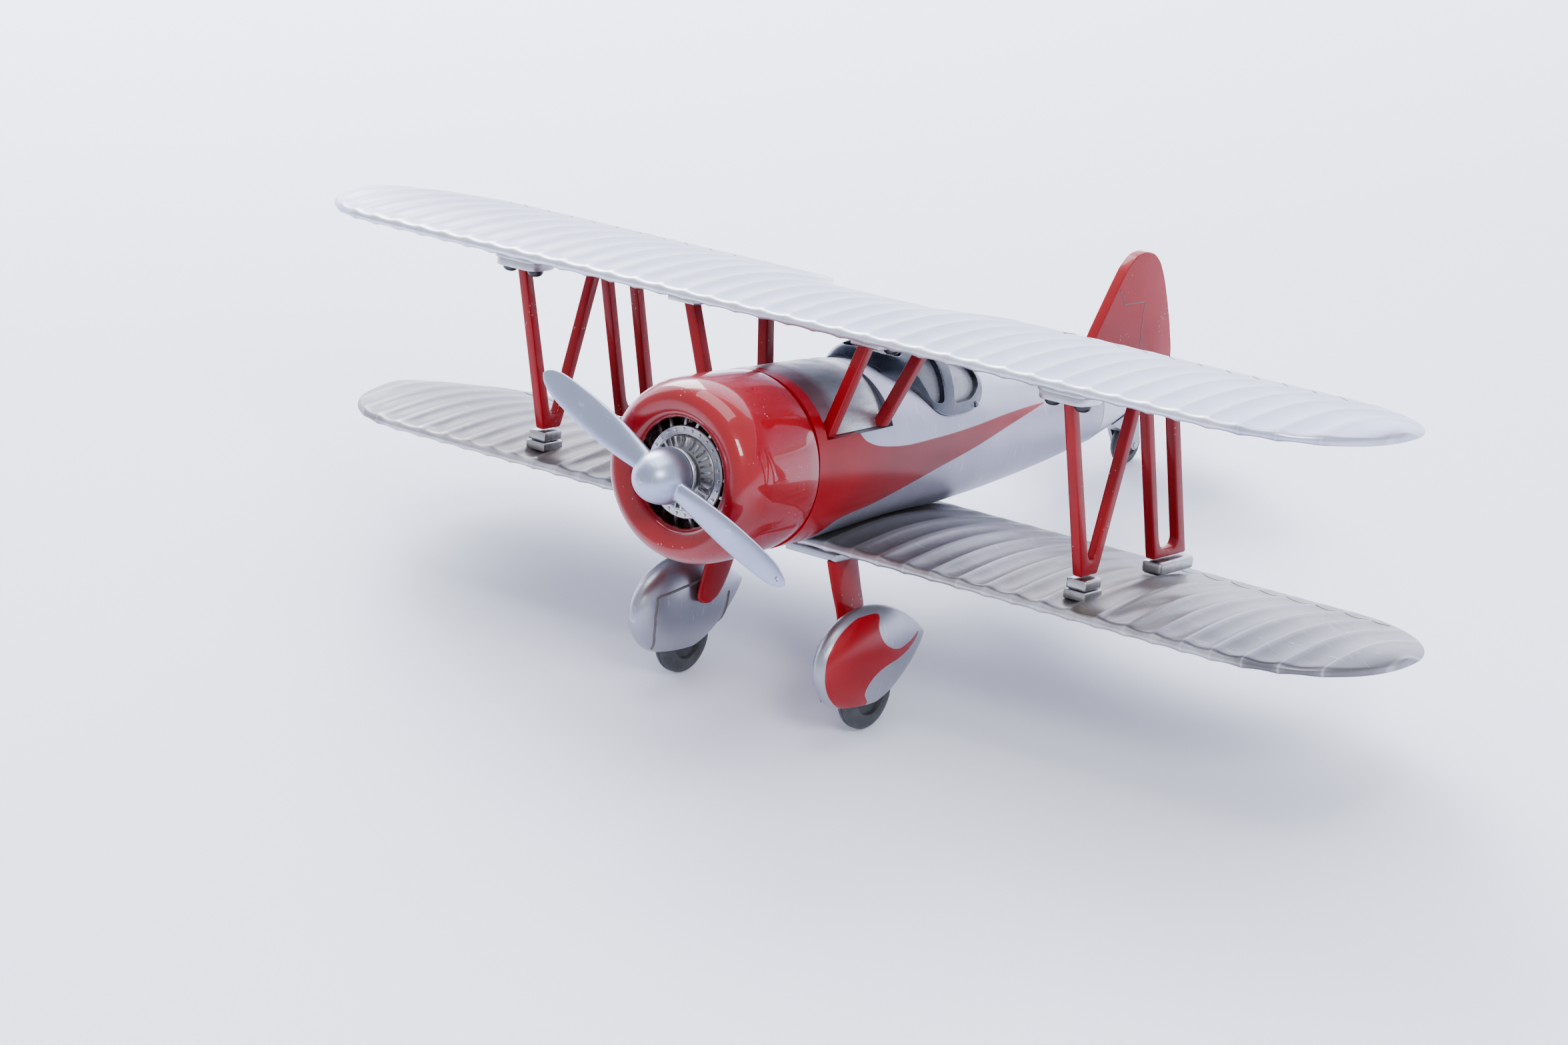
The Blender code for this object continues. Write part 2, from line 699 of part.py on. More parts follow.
def spat_size(along):
    """Reach of the teardrop above and below its middle, and half its width, at a fraction along it."""
    widest = 0.42
    if along < widest:
        swell = math.sqrt(1 - (1 - along / widest) ** 2)
        wide = swell
    else:
        swell = 1 - ((along - widest) / (1 - widest)) ** 1.8
        wide = swell**0.8
    return 10.0 * swell, 12.0 * swell, 4.95 * wide


def spat_rings(x):
    """Teardrop sections, boxier below than above."""
    start, length = -2.0, 37.0
    rings = []
    for i in range(11):
        along = 0.012 + 0.97 * (1 - math.cos(math.pi * i / 10)) / 2
        above, below, wide = spat_size(along)
        middle = -38.3 + 2.2 * along
        ring = []
        for step in range(16):
            turn = 2 * math.pi * (step + 0.5) / 16
            lower = math.sin(turn) < 0
            reach = below if lower else above
            across, up = superellipse(wide, reach, turn, 2.6 if lower else 2.1)
            ring.append((x + across, start + length * along, middle + up))
        rings.append(ring)
    return rings


def landing_gear(side, sign, red, silver, black, metal):
    x, y, z = sign * WHEEL[0], WHEEL[1], WHEEL[2]
    room = WHEEL_WIDE + 1.0
    sole = -47.6
    reach = WHEEL_RADIUS + 0.8
    well = [(y + across, z + up) for across, up in arc(reach, 0, 180, 12)]
    well += [(y - reach, z - 16), (y + reach, z - 16)]
    cutters_here = (
        as_mesh(plate(f"wheel_well_{side}", well, room, None, x=x)),
        box(f"spat_sole_{side}", (20, 60, 10), (x, y, sole - 5), None),
        cylinder(f"axle_hole_{side}", AXLE_RADIUS + GAP, 6.6, (x, y, z), None, sides=16),
    )
    for half_name, away in (("outer", -sign), ("inner", sign)):
        half = loft(f"spat_{side}_{half_name}", spat_rings(x), silver)
        middle = (x + away * (10 - GAP / 2), y, z)
        split = box(f"spat_split_{side}_{half_name}", (20, 70, 50), middle, None)
        for cutter in (*cutters_here, split):
            boolean(half, cutter)
    gear_leg(side, sign, red)
    box(f"leg_mount_{side}", (14.6, 9.4, 1.6), (sign * 9.3, 16.6, -19.55), silver, edge=0.3)
    cylinder(f"axle_{side}", AXLE_RADIUS, 6.0, (x, y, z), metal, sides=16)
    wheel(f"wheel_{side}", (x, y, z), WHEEL_RADIUS, WHEEL_WIDE, black)


def gear_leg(side, sign, finish):
    """A broad flat leg that runs down and ends rounded against the inner face of the spat."""
    sections = (
        (14.9, 16.3, -20.65, 10.2),
        (16.4, 16.6, -25.5, 9.8),
        (18.0, 16.9, -31.5, 9.0),
        (18.3, 15.9, -34.8, 7.8),
        (18.3, 14.9, -36.8, 4.8),
    )
    rings = []
    for x, y, z, long in sections:
        ring = []
        for i in range(12):
            across, along = superellipse(0.95, long / 2, 2 * math.pi * (i + 0.5) / 12)
            ring.append((sign * x + across, y + along, z))
        rings.append(ring)
    loft(f"gear_leg_{side}", rings, finish, sharp=60)


def wheel(name, centre, radius, wide, finish, steps=26):
    half = wide / 2
    bore = AXLE_RADIUS + RUNNING
    rim = radius * 0.62
    profile = [(bore, half * 0.9), (rim - 0.4, half * 0.7), (rim, half)]
    profile += [(radius - 0.7, half * 0.86), (radius, half * 0.35)]
    profile += [(across, -along) for across, along in profile[::-1]]
    turned(name, profile, finish, steps=steps, ring=True, location=centre, rotation=(0, 90, 0))


# ---------------------------------------------------------------- tail


def tail(red, silver, black, metal):
    fin_foot = TAILPLANE_Z + TAILPLANE_THICK / 2 + GAP
    fin = [
        (121.4, fin_foot), (126.4, 14.2), (133.0, 23.8), (136.2, 28.2), (139.6, 31.0),
        (143.4, 31.8), (147.2, 30.8), (150.0, 28.4), (152.4, 24.6), (154.6, 19.6), (156.8, 14.0),
        (158.9, 7.2), (159.4, 2.6), (158.0, -1.4), (154.6, -3.2), (150.7, -2.4), (150.7, fin_foot),
    ]
    plate("tail_fin", fin, 2.6, red, edge=0.9, segments=2)

    half_plan = [
        (14, 125.4), (26, 128.4), (33, 132.6), (36, 138), (35.2, 143), (31, 147.4), (20, 149.6),
    ]
    plan = [(3, 124.6), *half_plan, (3, 150.2)]
    plan += [(-x, y) for x, y in plan[::-1]]
    plate(
        "tailplane", plan, TAILPLANE_THICK, silver, edge=0.6, segments=2, flat=TAILPLANE_Z
    )

    y, z = TAIL_WHEEL[1:]
    fork_shape = [
        (134.6, -8.2), (144.0, -5.2), (146.2, -8.4), (147.2, -12.8), (146.8, -15.0),
        (145.2, -15.6), (143.8, -14.6), (141.6, -11.0),
    ]
    fork = as_mesh(plate("tail_fork", fork_shape, 5.6, silver))
    room = TAIL_WHEEL_WIDE + 0.8
    slot = cylinder("fork_slot", TAIL_WHEEL_RADIUS + 0.6, room, TAIL_WHEEL, None, sides=20)
    boolean(fork, slot)
    pin = cylinder("fork_pin", AXLE_RADIUS + GAP, 8, TAIL_WHEEL, None, sides=16)
    boolean(fork, pin)
    cylinder("tail_axle", AXLE_RADIUS, 5.6, TAIL_WHEEL, metal, sides=16)
    wheel("tail_wheel", TAIL_WHEEL, TAIL_WHEEL_RADIUS, TAIL_WHEEL_WIDE, black, steps=20)


# ---------------------------------------------------------------- assembly


def stand_on_wheels():
    """Tips the airframe until both sizes of wheel touch z = 0, and centres it on x and y."""
    rise = TAIL_WHEEL[2] - WHEEL[2]
    run = TAIL_WHEEL[1] - WHEEL[1]
    apart = math.hypot(run, rise)
    pitch = math.atan2(rise, run) - math.asin((TAIL_WHEEL_RADIUS - WHEEL_RADIUS) / apart)
    axle_height = WHEEL[2] * math.cos(pitch) - WHEEL[1] * math.sin(pitch)
    lift = WHEEL_RADIUS - axle_height
    airframe.rotation_euler = (-pitch, 0, 0)
    airframe.location = Vector((0, MIDDLE_Y, lift)) * MM


clear_scene()
parts = new_collection("toy_biplane")
cutters = new_collection("cutters", hidden=True)
airframe = bpy.data.objects.new("airframe", None)
parts.objects.link(airframe)

red_paint = material("red_paint", RED, 0.2)
silver_paint = material("silver_paint", SILVER, 0.32, 0.85)
bright_metal = material("bright_metal", (0.72, 0.72, 0.73), 0.2, 1.0)
deck_metal = material("deck_metal", (0.42, 0.42, 0.41), 0.38, 0.8)
dark_frame = material("dark_frame", (0.05, 0.06, 0.09), 0.3)
clear_pane = material("clear_pane", (0.8, 0.86, 0.9), 0.08, alpha=0.35)
cabin_grey = material("cabin_grey", (0.4, 0.41, 0.44), 0.6)
black_screw = material("black_screw", (0.02, 0.02, 0.022), 0.35, 0.6)
black_rubber = material("black_rubber", (0.025, 0.027, 0.03), 0.7)

wing("upper_wing", UPPER_EDGE, UPPER_DROP, True, silver_paint)
wing("lower_wing", LOWER_EDGE, LOWER_DROP, False, silver_paint)
fuselage_pieces(silver_paint, deck_metal, bright_metal)
canopy(dark_frame, clear_pane, cabin_grey)
cowl(red_paint)
engine(bright_metal, black_screw, bright_metal)
propeller(silver_paint, deck_metal, bright_metal)
mirrored(outer_struts, red_paint)
mirrored(outer_pads, silver_paint, black_screw)
mirrored(feet, bright_metal)
mirrored(cabane, red_paint, silver_paint, black_screw)
mirrored(landing_gear, red_paint, silver_paint, black_rubber, bright_metal)
tail(red_paint, silver_paint, black_rubber, bright_metal)
stand_on_wheels()
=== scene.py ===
"""Looks of the toy biplane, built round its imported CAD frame.

Shapes are laid out in the aeroplane's own axes, in millimetres: +Y aft along the thrust line, +X to the
aeroplane's left, +Z up, from the thrust line at the cowl's rear edge. At the end every mesh is turned
into the frame's axes, and each material turns its coordinates back, so both are laid out in one system.
"""

import json
from math import asin, atan2, ceil, copysign, cos, degrees, hypot, pi, radians, sin, sqrt

import bmesh
import bpy
from mathutils import Matrix, Vector
from mathutils.bvhtree import BVHTree


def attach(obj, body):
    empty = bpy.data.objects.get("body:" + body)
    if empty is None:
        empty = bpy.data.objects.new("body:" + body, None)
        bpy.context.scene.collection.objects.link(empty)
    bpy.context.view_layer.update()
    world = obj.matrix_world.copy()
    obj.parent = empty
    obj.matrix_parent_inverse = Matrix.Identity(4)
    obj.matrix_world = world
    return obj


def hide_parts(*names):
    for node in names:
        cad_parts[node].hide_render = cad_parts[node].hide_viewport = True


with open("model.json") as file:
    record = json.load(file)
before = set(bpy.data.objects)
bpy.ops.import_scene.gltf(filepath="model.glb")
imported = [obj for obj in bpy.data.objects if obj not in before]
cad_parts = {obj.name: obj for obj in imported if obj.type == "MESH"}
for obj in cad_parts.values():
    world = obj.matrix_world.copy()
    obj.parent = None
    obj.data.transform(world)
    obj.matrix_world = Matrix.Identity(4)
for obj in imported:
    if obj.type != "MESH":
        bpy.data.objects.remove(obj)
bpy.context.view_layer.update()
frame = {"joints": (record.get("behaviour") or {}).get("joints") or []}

MM = 0.001
PROP_Y = -26.2
PROP_ANGLE = 24  # resting blade, degrees below the wing line
JOINTS = {joint["name"]: joint for joint in frame["joints"]}
THRUST = Vector(JOINTS["prop_spin"]["axis"])
TILT = Matrix.Rotation(-asin(THRUST.z), 4, "X")
AIRFRAME = Matrix.Translation(
    Vector(JOINTS["prop_spin"]["pos_m"]) - TILT @ Vector((0, PROP_Y * MM, 0))
) @ TILT

# Wings
HALF_SPAN = 134.4
RIB_PITCH = 6.69
CHORD = 56
UPPER_EDGE = (-0.6, 30.6)  # y, z of the middle of the leading edge
LOWER_EDGE = (11.7, -17.2)
UPPER_DROP = 2
LOWER_DROP = 0.2
CAMBER = 3.2
BELLY = 0.6
EDGE_RADIUS = 0.95
SCALLOP = 0.65
EDGE_SCALLOP = 0.08

# Cowl, engine and propeller
COWL_RADIUS = 19.25
COWL_LENGTH = 23.8
COWL_MOUTH = 11.3
LIP_DEPTH = 2.8  # from the crest of the lip back to the mouth
PROP_RADIUS = 36.2
SPINNER_RADIUS = 5.8
SPINNER_TIP_Y = -34.2
BLADE_SET = 1.2  # blades forward of the propeller's middle

# Struts and pads
STRUT_X = 70.9
STRUT_WIDE = 2.3
STRUT_TOP = 25.9
STRUT_LEAN = 0.288
PAD_Z = 26.2

# Landing gear
WHEEL = (24.4, 15.6, -46.1)
WHEEL_RADIUS = 7.9
WHEEL_WIDE = 4
TAIL_WHEEL = (0, 145.6, -14.4)
TAIL_WHEEL_RADIUS = 4.8
TAIL_WHEEL_WIDE = 3
AXLE_RADIUS = 0.7

# Fuselage sections: y, half width, top, bottom
FUSELAGE = (
    (0.4, 18.6, 18.7, -18.6),
    (12, 18.4, 18.7, -18.4),
    (25, 17.9, 18.3, -18),
    (40, 16.8, 16.6, -17.5),
    (60, 14.9, 13.2, -16.9),
    (80, 12.9, 10.3, -15.7),
    (100, 10.7, 7.8, -13.9),
    (121.6, 8.2, 5.7, -11.2),
)
TAIL_CONE = (
    (121.9, 8.1, 5.6, -11.1),
    (132, 6.6, 5, -8.6),
    (142, 4.6, 4.5, -5.6),
    (150, 2.2, 4, -1.6),
)
DECK = (3.6, 27.4, 7.4)  # start, end and ledge height of the deck insert
DECK_NARROW = 0.9

# Canopy arches: y, half width at the rail, rail height, crest height
ARCHES = (
    (34, 7.5, 15.8, 17.6),
    (37.5, 9.8, 14.2, 20),
    (41.5, 12.4, 11.6, 20.6),
    (45, 14.2, 8.4, 21.3),
    (49, 14.7, 6.7, 21.9),
    (55, 14.2, 6.1, 21.7),
    (61, 13.4, 6.4, 19.8),
    (66, 11.8, 8, 16.4),
    (70, 8.6, 9.6, 13.4),
)
TAILPLANE_Z = 4.5
TAILPLANE_THICK = 2

# Camera, in the aeroplane's axes
EYE = (501.6, -667.96, 194.48)
AZIMUTH, ELEVATION, ROLL = 36.291, 13.911, -5.631
LENS = 96.1
SENSOR = 36

SIDES = (("left", 1), ("right", -1))
DOWN = (0, 0, -1)

cutters = []
shown = []


# --- shader helpers


class Wire:
    """A shader value that arithmetic adds Math nodes to."""

    def __init__(self, socket):
        self.socket = socket

    def __rsub__(self, other):
        return calculate("SUBTRACT", other, self)


def calculate(operation, first, second=0):
    known = first if isinstance(first, Wire) else second
    node = known.socket.id_data.nodes.new("ShaderNodeMath")
    node.operation = operation
    connect(first, node.inputs[0])
    connect(second, node.inputs[1])
    return Wire(node.outputs[0])


for method, operation in (
    ("add", "ADD"), ("sub", "SUBTRACT"), ("mul", "MULTIPLY"), ("truediv", "DIVIDE"), ("or", "MAXIMUM"),
    ("abs", "ABSOLUTE"), ("round", "ROUND"),
):
    setattr(Wire, f"__{method}__", lambda *sides, kind=operation: calculate(kind, *sides))


def connect(value, socket):
    """Links a wire to the socket, or sets the socket to a value."""
    if isinstance(value, Wire):
        socket.id_data.links.new(value.socket, socket)
    elif isinstance(value, tuple) and len(value) == 3 and socket.type == "RGBA":
        socket.default_value = (*value, 1)
    else:
        socket.default_value = value


class Shader:
    """A Principled material with short calls for the nodes that feed it."""

    def __init__(self, name, **constants):
        self.material = bpy.data.materials.new(name)
        self.material.use_nodes = True
        self.tree = self.material.node_tree
        self.principled = self.tree.nodes["Principled BSDF"]
        for socket, value in constants.items():
            self.principled.inputs[socket.replace("_", " ")].default_value = value
        back = dict(Location=AIRFRAME.translation, Rotation=AIRFRAME.to_euler())
        coordinates = self.add("TexCoord", "Object")
        self.place = self.add("Mapping", 0, {"vector_type": "TEXTURE"}, Vector=coordinates, **back)

    def add(self, kind, output, settings={}, **inputs):
        """A new node's output; an input's name is written with _ for each space."""
        node = self.tree.nodes.new("ShaderNode" + kind)
        for name, value in settings.items():
            setattr(node, name, value)
        for name, value in inputs.items():
            connect(value, node.inputs[name.replace("_", " ")])
        return Wire(node.outputs[output])

    def mix(self, factor, first, second):
        return self.add("Mix", "Result", {"data_type": "RGBA"}, Factor=factor, A=first, B=second)

    def over(self, mask, colour):
        """Lays a colour over the last, where the mask is 1."""
        self.colour = self.mix(mask, self.colour, colour)

    def axes(self):
        outputs = self.add("SeparateXYZ", 0, Vector=self.place).socket.node.outputs
        return [Wire(socket) for socket in outputs]

    def noise(self, scale, detail=3, roughness=0.55, stretch=None):
        place = self.add("Mapping", 0, Vector=self.place, Scale=stretch) if stretch else self.place
        return self.add("TexNoise", "Fac", Vector=place, Scale=scale, Detail=detail, Roughness=roughness)

    def specks(self, scale, size):
        """Small round specks, 1 inside and 0 outside."""
        distance = self.add("TexVoronoi", "Distance", Vector=self.place, Scale=scale)
        return self.remap(distance, size, size * 0.6)

    def remap(self, value, low, high, to_low=0, to_high=1):
        limits = dict(From_Min=low, From_Max=high, To_Min=to_low, To_Max=to_high)
        return self.add("MapRange", 0, Value=value, **limits)

    def tone(self):
        """Slow clouding of a lacquer."""
        return self.remap(self.noise(60, 4), 0.3, 0.7)

    def curve(self, value, points):
        """Height of a curve through points with x and height in 0 to 1."""
        made = self.add("FloatCurve", 0, Value=value)
        mapping = made.socket.node.mapping
        line = mapping.curves[0].points
        line[0].location, line[1].location = points[0], points[-1]
        for point in points[1:-1]:
            line.new(*point)
        mapping.update()
        return made

    def edges(self):
        """1 on convex edges and 0 on open surfaces."""
        bevelled = self.add("Bevel", 0, {"samples": 4}, Radius=0.0003)
        flat = self.add("NewGeometry", "Normal")
        dot = self.add("VectorMath", "Value", {"operation": "DOT_PRODUCT"})
        connect(bevelled, dot.socket.node.inputs[0])
        connect(flat, dot.socket.node.inputs[1])
        return self.remap(dot, 0.985, 0.9)

    def bump(self, height, distance, strength):
        normal = self.add("Bump", 0, Height=height, Distance=distance, Strength=strength)
        connect(normal, self.principled.inputs["Normal"])

    def finish(self, roughness=None, metallic=None):
        for value, name in ((self.colour, "Base Color"), (roughness, "Roughness"), (metallic, "Metallic")):
            if value is not None:
                connect(value, self.principled.inputs[name])
        return self.material


# --- materials

RED = (0.255, 0.0006, 0.006)
DEEP_RED = (0.19, 0.0004, 0.004)
ZINC = (0.36, 0.34, 0.33)


def red_paint(name, wear, gloss):
    """Gloss red lacquer; bare zinc shows at chips along the edges where wear is above 0."""
    s = Shader(name, Coat_Weight=gloss, Coat_Roughness=0.03, Specular_IOR_Level=0.12)
    s.colour = s.mix(s.tone(), DEEP_RED, RED)
    dust = s.specks(900, 0.16) * s.remap(s.noise(140, 2), 0.55, 0.66)
    s.over(dust * 0.55, (0.62, 0.50, 0.46))
    scuffs = s.noise(420, 5, 0.7)
    roughness = s.remap(scuffs, 0.3, 0.8, 0.46 - 0.26 * gloss, 0.62 - 0.30 * gloss)
    metallic = 0
    if wear:
        metallic = s.edges() * s.remap(scuffs, 0.74 - wear, 0.77 - wear)
        s.over(metallic, ZINC)
        roughness = roughness + metallic * 0.2
    s.bump(scuffs, 0.00003, 0.25)
    return s.finish(roughness, metallic)


def silver_parts(s, light, dark):
    """Fine metallic lacquer: flake, cloudy tone and faint scratches."""
    flake = s.noise(5200, 2, 0.8)
    cloud = s.remap(s.noise(38, 4, 0.6), 0.32, 0.7)
    scratch = s.remap(s.noise(240, 2, 0.5, (1, 8, 1)), 0.66, 0.74)
    s.colour = s.mix(flake * 0.35 + cloud * 0.65, dark, light)
    s.over(scratch * 0.25, (0.9, 0.9, 0.92))
    s.bump(flake + scratch * -0.3, 0.00002, 0.3)
    return s.remap(cloud, 0, 1, 0.36, 0.28) + flake * 0.06


def silver_paint(name, light=(0.46, 0.46, 0.52), dark=(0.33, 0.33, 0.38)):
    s = Shader(name, Metallic=0.9)
    return s.finish(silver_parts(s, light, dark))


def wing_silver(name, lower):
    """Silver wing covering; the lower one is much darker, partly a duller finish and partly painted shade
    from the upper wing over it, and has a brown patina round the strut feet.
    """
    s = Shader(name, Metallic=0.7)
    if lower:
        # The lower wing's colours are painted much darker, partly as the shade under the upper wing.
        roughness = silver_parts(s, (0.165, 0.162, 0.178), (0.10, 0.098, 0.108))
    else:
        roughness = silver_parts(s, (0.47, 0.50, 0.62), (0.36, 0.39, 0.49))
    x, y, _ = s.axes()
    # Along each rib's crest a thin bright line is painted as a highlight, and grey is painted down its
    # sides as shade.
    bay = x / (RIB_PITCH * MM)
    off = abs(bay - round(bay))
    s.over(s.remap(off, 0.20, 0.05) * 0.30, (0.26, 0.26, 0.30))
    s.over(s.remap(off, 0.045, 0.015) * 0.16, (0.93, 0.93, 0.95))
    if lower:
        near = s.remap(abs(abs(x) - STRUT_X * MM), 0.030, 0.004)
        patina = near * s.remap(s.noise(170, 6, 0.75), 0.36, 0.62) * s.remap(y, 0.066, 0.030)
        s.over(patina * 0.8, (0.15, 0.12, 0.075))
        rust = s.specks(520, 0.14) * s.remap(s.noise(60), 0.5, 0.62)
        s.over(rust * 0.5, (0.22, 0.15, 0.10))
        # Painted shade: the lower wing darkens towards its root beside the fuselage.
        s.over(s.remap(abs(x), 0.030, 0.014) * 0.35, (0.16, 0.15, 0.16))
    # A pale strip along the leading edge is a painted highlight on its rolled edge, broken up by noise.
    edge_y = (LOWER_EDGE if lower else UPPER_EDGE)[0] * MM
    lead = s.remap(y, edge_y + 0.0011, edge_y + 0.0003) * s.remap(s.noise(300, 4), 0.3, 0.7, 0.25, 0.5)
    s.over(lead, (0.86, 0.87, 0.92))
    return s.finish(roughness)


# Upper and lower edge of the red flash along the fuselage: y, z in mm
FLASH_TOP = ((13.5, 12), (15, 7.6), (18, 5.2), (27, 3.3), (45, 2.7), (60, 2.8), (78, 3.4), (94, 3.4))
FLASH_FOOT = (
    (9.6, -19), (11.9, -11.6), (15, -10.4), (23, -9), (34.4, -6.5), (46, -4.2), (60.4, -1.9), (78, 1.1),
    (94, 3.2),
)
FLASH_SPAN = 100
FLASH_BASE, FLASH_TALL = -20, 40


def two_tone(s, mask, roughness, less, metallic):
    """Red where the mask is 1, over the silver."""
    s.over(mask, s.mix(s.tone(), DEEP_RED, RED))
    return s.finish(roughness - mask * less, s.remap(mask, 0, 1, metallic, 0))


def fuselage_paint(name):
    """Silver with a red nose that runs back into a tapering flash on each side."""
    s = Shader(name, Specular_IOR_Level=0.18)
    roughness = silver_parts(s, (0.33, 0.335, 0.40), (0.235, 0.24, 0.29))
    _, y, z = s.axes()
    along = y / (FLASH_SPAN * MM)
    up = (z - FLASH_BASE * MM) / (FLASH_TALL * MM)
    top, foot = (
        s.curve(along, [(y0 / FLASH_SPAN, (z0 - FLASH_BASE) / FLASH_TALL) for y0, z0 in points])
        for points in (FLASH_TOP, FLASH_FOOT)
    )

    def within(value, width):
        return s.remap(value, -width, width)

    below = within(top - up, 0.002) | within(FLASH_TOP[0][0] / FLASH_SPAN - along, 0.001)
    above = within(up - foot, 0.002) | within(FLASH_FOOT[0][0] / FLASH_SPAN - along, 0.001)
    mask = below * above * within(FLASH_TOP[-1][0] / FLASH_SPAN - along, 0.002)
    return two_tone(s, mask, roughness, 0.16, 0.7)


def flame_paint(name):
    """Silver with a red flame; the mesh carries the distance inside the flame's outline."""
    s = Shader(name, Specular_IOR_Level=0.3)
    roughness = silver_parts(s, (0.36, 0.37, 0.42), (0.25, 0.26, 0.30))
    depth = s.add("Attribute", "Fac", {"attribute_name": "flame_depth"})
    return two_tone(s, s.remap(depth, -0.00004, 0.00004), roughness, 0.14, 0.75)


def bare_metal(name, light, dark, roughness, grime=0.5):
    """Cast or sheet metal with cloudy patches of dirt and rubbed edges."""
    s = Shader(name, Metallic=1)
    grain = s.noise(900, 4, 0.65)
    dirt = s.remap(s.noise(95, 5, 0.65), 0.38, 0.68)
    s.colour = s.mix(grain, dark, light)
    s.over(dirt * grime, tuple(c * 0.35 for c in dark))
    s.over(s.edges(), tuple(min(c * 1.25, 0.95) for c in light))
    s.bump(grain, 0.00003, 0.35)
    return s.finish(s.remap(grain, 0.3, 0.7, roughness * 0.8, roughness * 1.2) + dirt * 0.15)


def deck_metal(name):
    """Grimy grey deck insert, brushed along its length, bright where it is rubbed low at the back."""
    s = Shader(name, Metallic=0.85)
    _, y, z = s.axes()
    grain = s.noise(700, 4, 0.7, (1, 0.25, 1))
    dirt = s.remap(s.noise(110, 5, 0.7), 0.4, 0.66)
    s.colour = s.mix(grain, (0.20, 0.20, 0.20), (0.36, 0.355, 0.35))
    s.over(dirt * 0.35, (0.16, 0.15, 0.14))
    rubbed = s.remap(z, 0.0135, 0.0085) * s.remap(y, 0.012, 0.021) * s.remap(grain, 0.3, 0.6)
    s.over(rubbed, (0.72, 0.73, 0.76))
    # The front of the deck is painted dark red-brown, partly red paint and partly a painted reflection of
    # the red cowl just ahead.
    front = s.remap(y + s.noise(130) * 0.004, 0.0135, 0.0105)
    s.over(front * 0.8, (0.16, 0.035, 0.045))
    s.bump(grain, 0.00004, 0.5)
    return s.finish(s.remap(dirt, 0, 1, 0.28, 0.48))


def dark_metal(name, base=(0.035, 0.040, 0.050), worn=(0.30, 0.32, 0.35)):
    s = Shader(name, Metallic=0.85)
    tone = s.noise(130, 5, 0.65)
    s.colour = s.mix(s.remap(tone, 0.3, 0.7), base, tuple(c * 2.4 for c in base))
    s.bump(s.noise(800), 0.00003, 0.4)
    s.over(s.edges() * 0.7, worn)
    return s.finish(s.remap(tone, 0.3, 0.7, 0.2, 0.36))


def rubber(name):
    s = Shader(name)
    dust = s.remap(s.noise(260, 5, 0.7), 0.5, 0.75)
    s.bump(s.noise(1500), 0.00004, 0.5)
    s.colour = s.mix(dust * 0.5, (0.022, 0.025, 0.028), (0.10, 0.105, 0.11))
    return s.finish(s.remap(dust, 0, 1, 0.5, 0.72))


def pane(name):
    """Clear moulded canopy liner with fine scuffs."""
    s = Shader(name, Alpha=0.42)
    haze = s.remap(s.noise(300, 5, 0.7), 0.45, 0.75)
    s.colour = s.mix(haze, (0.62, 0.65, 0.70), (0.45, 0.47, 0.52))
    return s.finish(s.remap(haze, 0, 1, 0.04, 0.18))


def moulding(name, colour):
    s = Shader(name)
    tone = s.remap(s.noise(200, 4), 0.3, 0.7)
    s.bump(s.noise(1200), 0.00003, 0.4)
    s.colour = s.mix(tone, tuple(c * 0.75 for c in colour), colour)
    return s.finish(s.remap(tone, 0, 1, 0.5, 0.65))


def groove_dark(name):
    s = Shader(name, Roughness=0.8)
    s.colour = s.mix(s.noise(500), (0.06, 0.05, 0.05), (0.16, 0.14, 0.14))
    return s.finish()


# --- mesh helpers


def new_object(name, data):
    obj = bpy.data.objects.new(name, data)
    bpy.context.scene.collection.objects.link(obj)
    return obj


def piece(name, data, finish, body="airframe", cad=None, location=(0, 0, 0), turn=(0, 0, 0)):
    """Puts a mesh on its body, for the CAD node it names or for none; without finish it only cuts."""
    obj = new_object(name, data)
    place = Matrix.Translation(Vector(location) * MM)
    for angle, axis in zip(turn[::-1], "ZYX"):
        place = place @ Matrix.Rotation(radians(angle), 4, axis)
    data.transform(place)
    obj.matrix_world = AIRFRAME
    if finish is None:
        cutters.append(obj)
        return obj
    data.materials.clear()
    data.materials.append(finish)
    shown.append(obj)
    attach(obj, body)
    if cad:
        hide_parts(cad)
    return obj


def mesh_data(name, mesh):
    bmesh.ops.recalc_face_normals(mesh, faces=mesh.faces)
    data = bpy.data.meshes.new(name)
    mesh.to_mesh(data)
    mesh.free()
    data.transform(Matrix.Scale(MM, 4))
    return data


def smooth(obj, angle=35):
    obj.data.shade_smooth()
    obj.data.set_sharp_from_angle(angle=radians(angle))
    return obj


def evaluated(obj):
    bpy.context.view_layer.update()
    graph = bpy.context.evaluated_depsgraph_get()
    return bpy.data.meshes.new_from_object(obj.evaluated_get(graph))


def applied(obj, angle=35):
    """Turns the object's modifiers into mesh, then shades it smooth between sharp edges."""
    old = obj.data
    obj.data = evaluated(obj)
    obj.modifiers.clear()
    bpy.data.meshes.remove(old)
    return smooth(obj, angle)


def modifier(obj, kind, **settings):
    made = obj.modifiers.new(kind.lower(), kind)
    for name, value in settings.items():
        setattr(made, name, value)


def cut(obj, *others, operation="DIFFERENCE", angle=35):
    for other in others:
        modifier(obj, "BOOLEAN", operation=operation, solver="EXACT", object=other)
        applied(obj, angle)
    return obj


def bevelled(obj, width, segments=3, angle=35):
    limit = radians(angle)
    modifier(obj, "BEVEL", width=width * MM, segments=segments, limit_method="ANGLE", angle_limit=limit)
    return applied(obj)


def box(name, size, centre, finish, edge=0, turn=(0, 0, 0), **where):
    mesh = bmesh.new()
    bmesh.ops.create_cube(mesh, size=1, matrix=Matrix.Diagonal((*size, 1)))
    obj = piece(name, mesh_data(name, mesh), finish, location=centre, turn=turn, **where)
    return bevelled(obj, edge, 4) if edge else obj


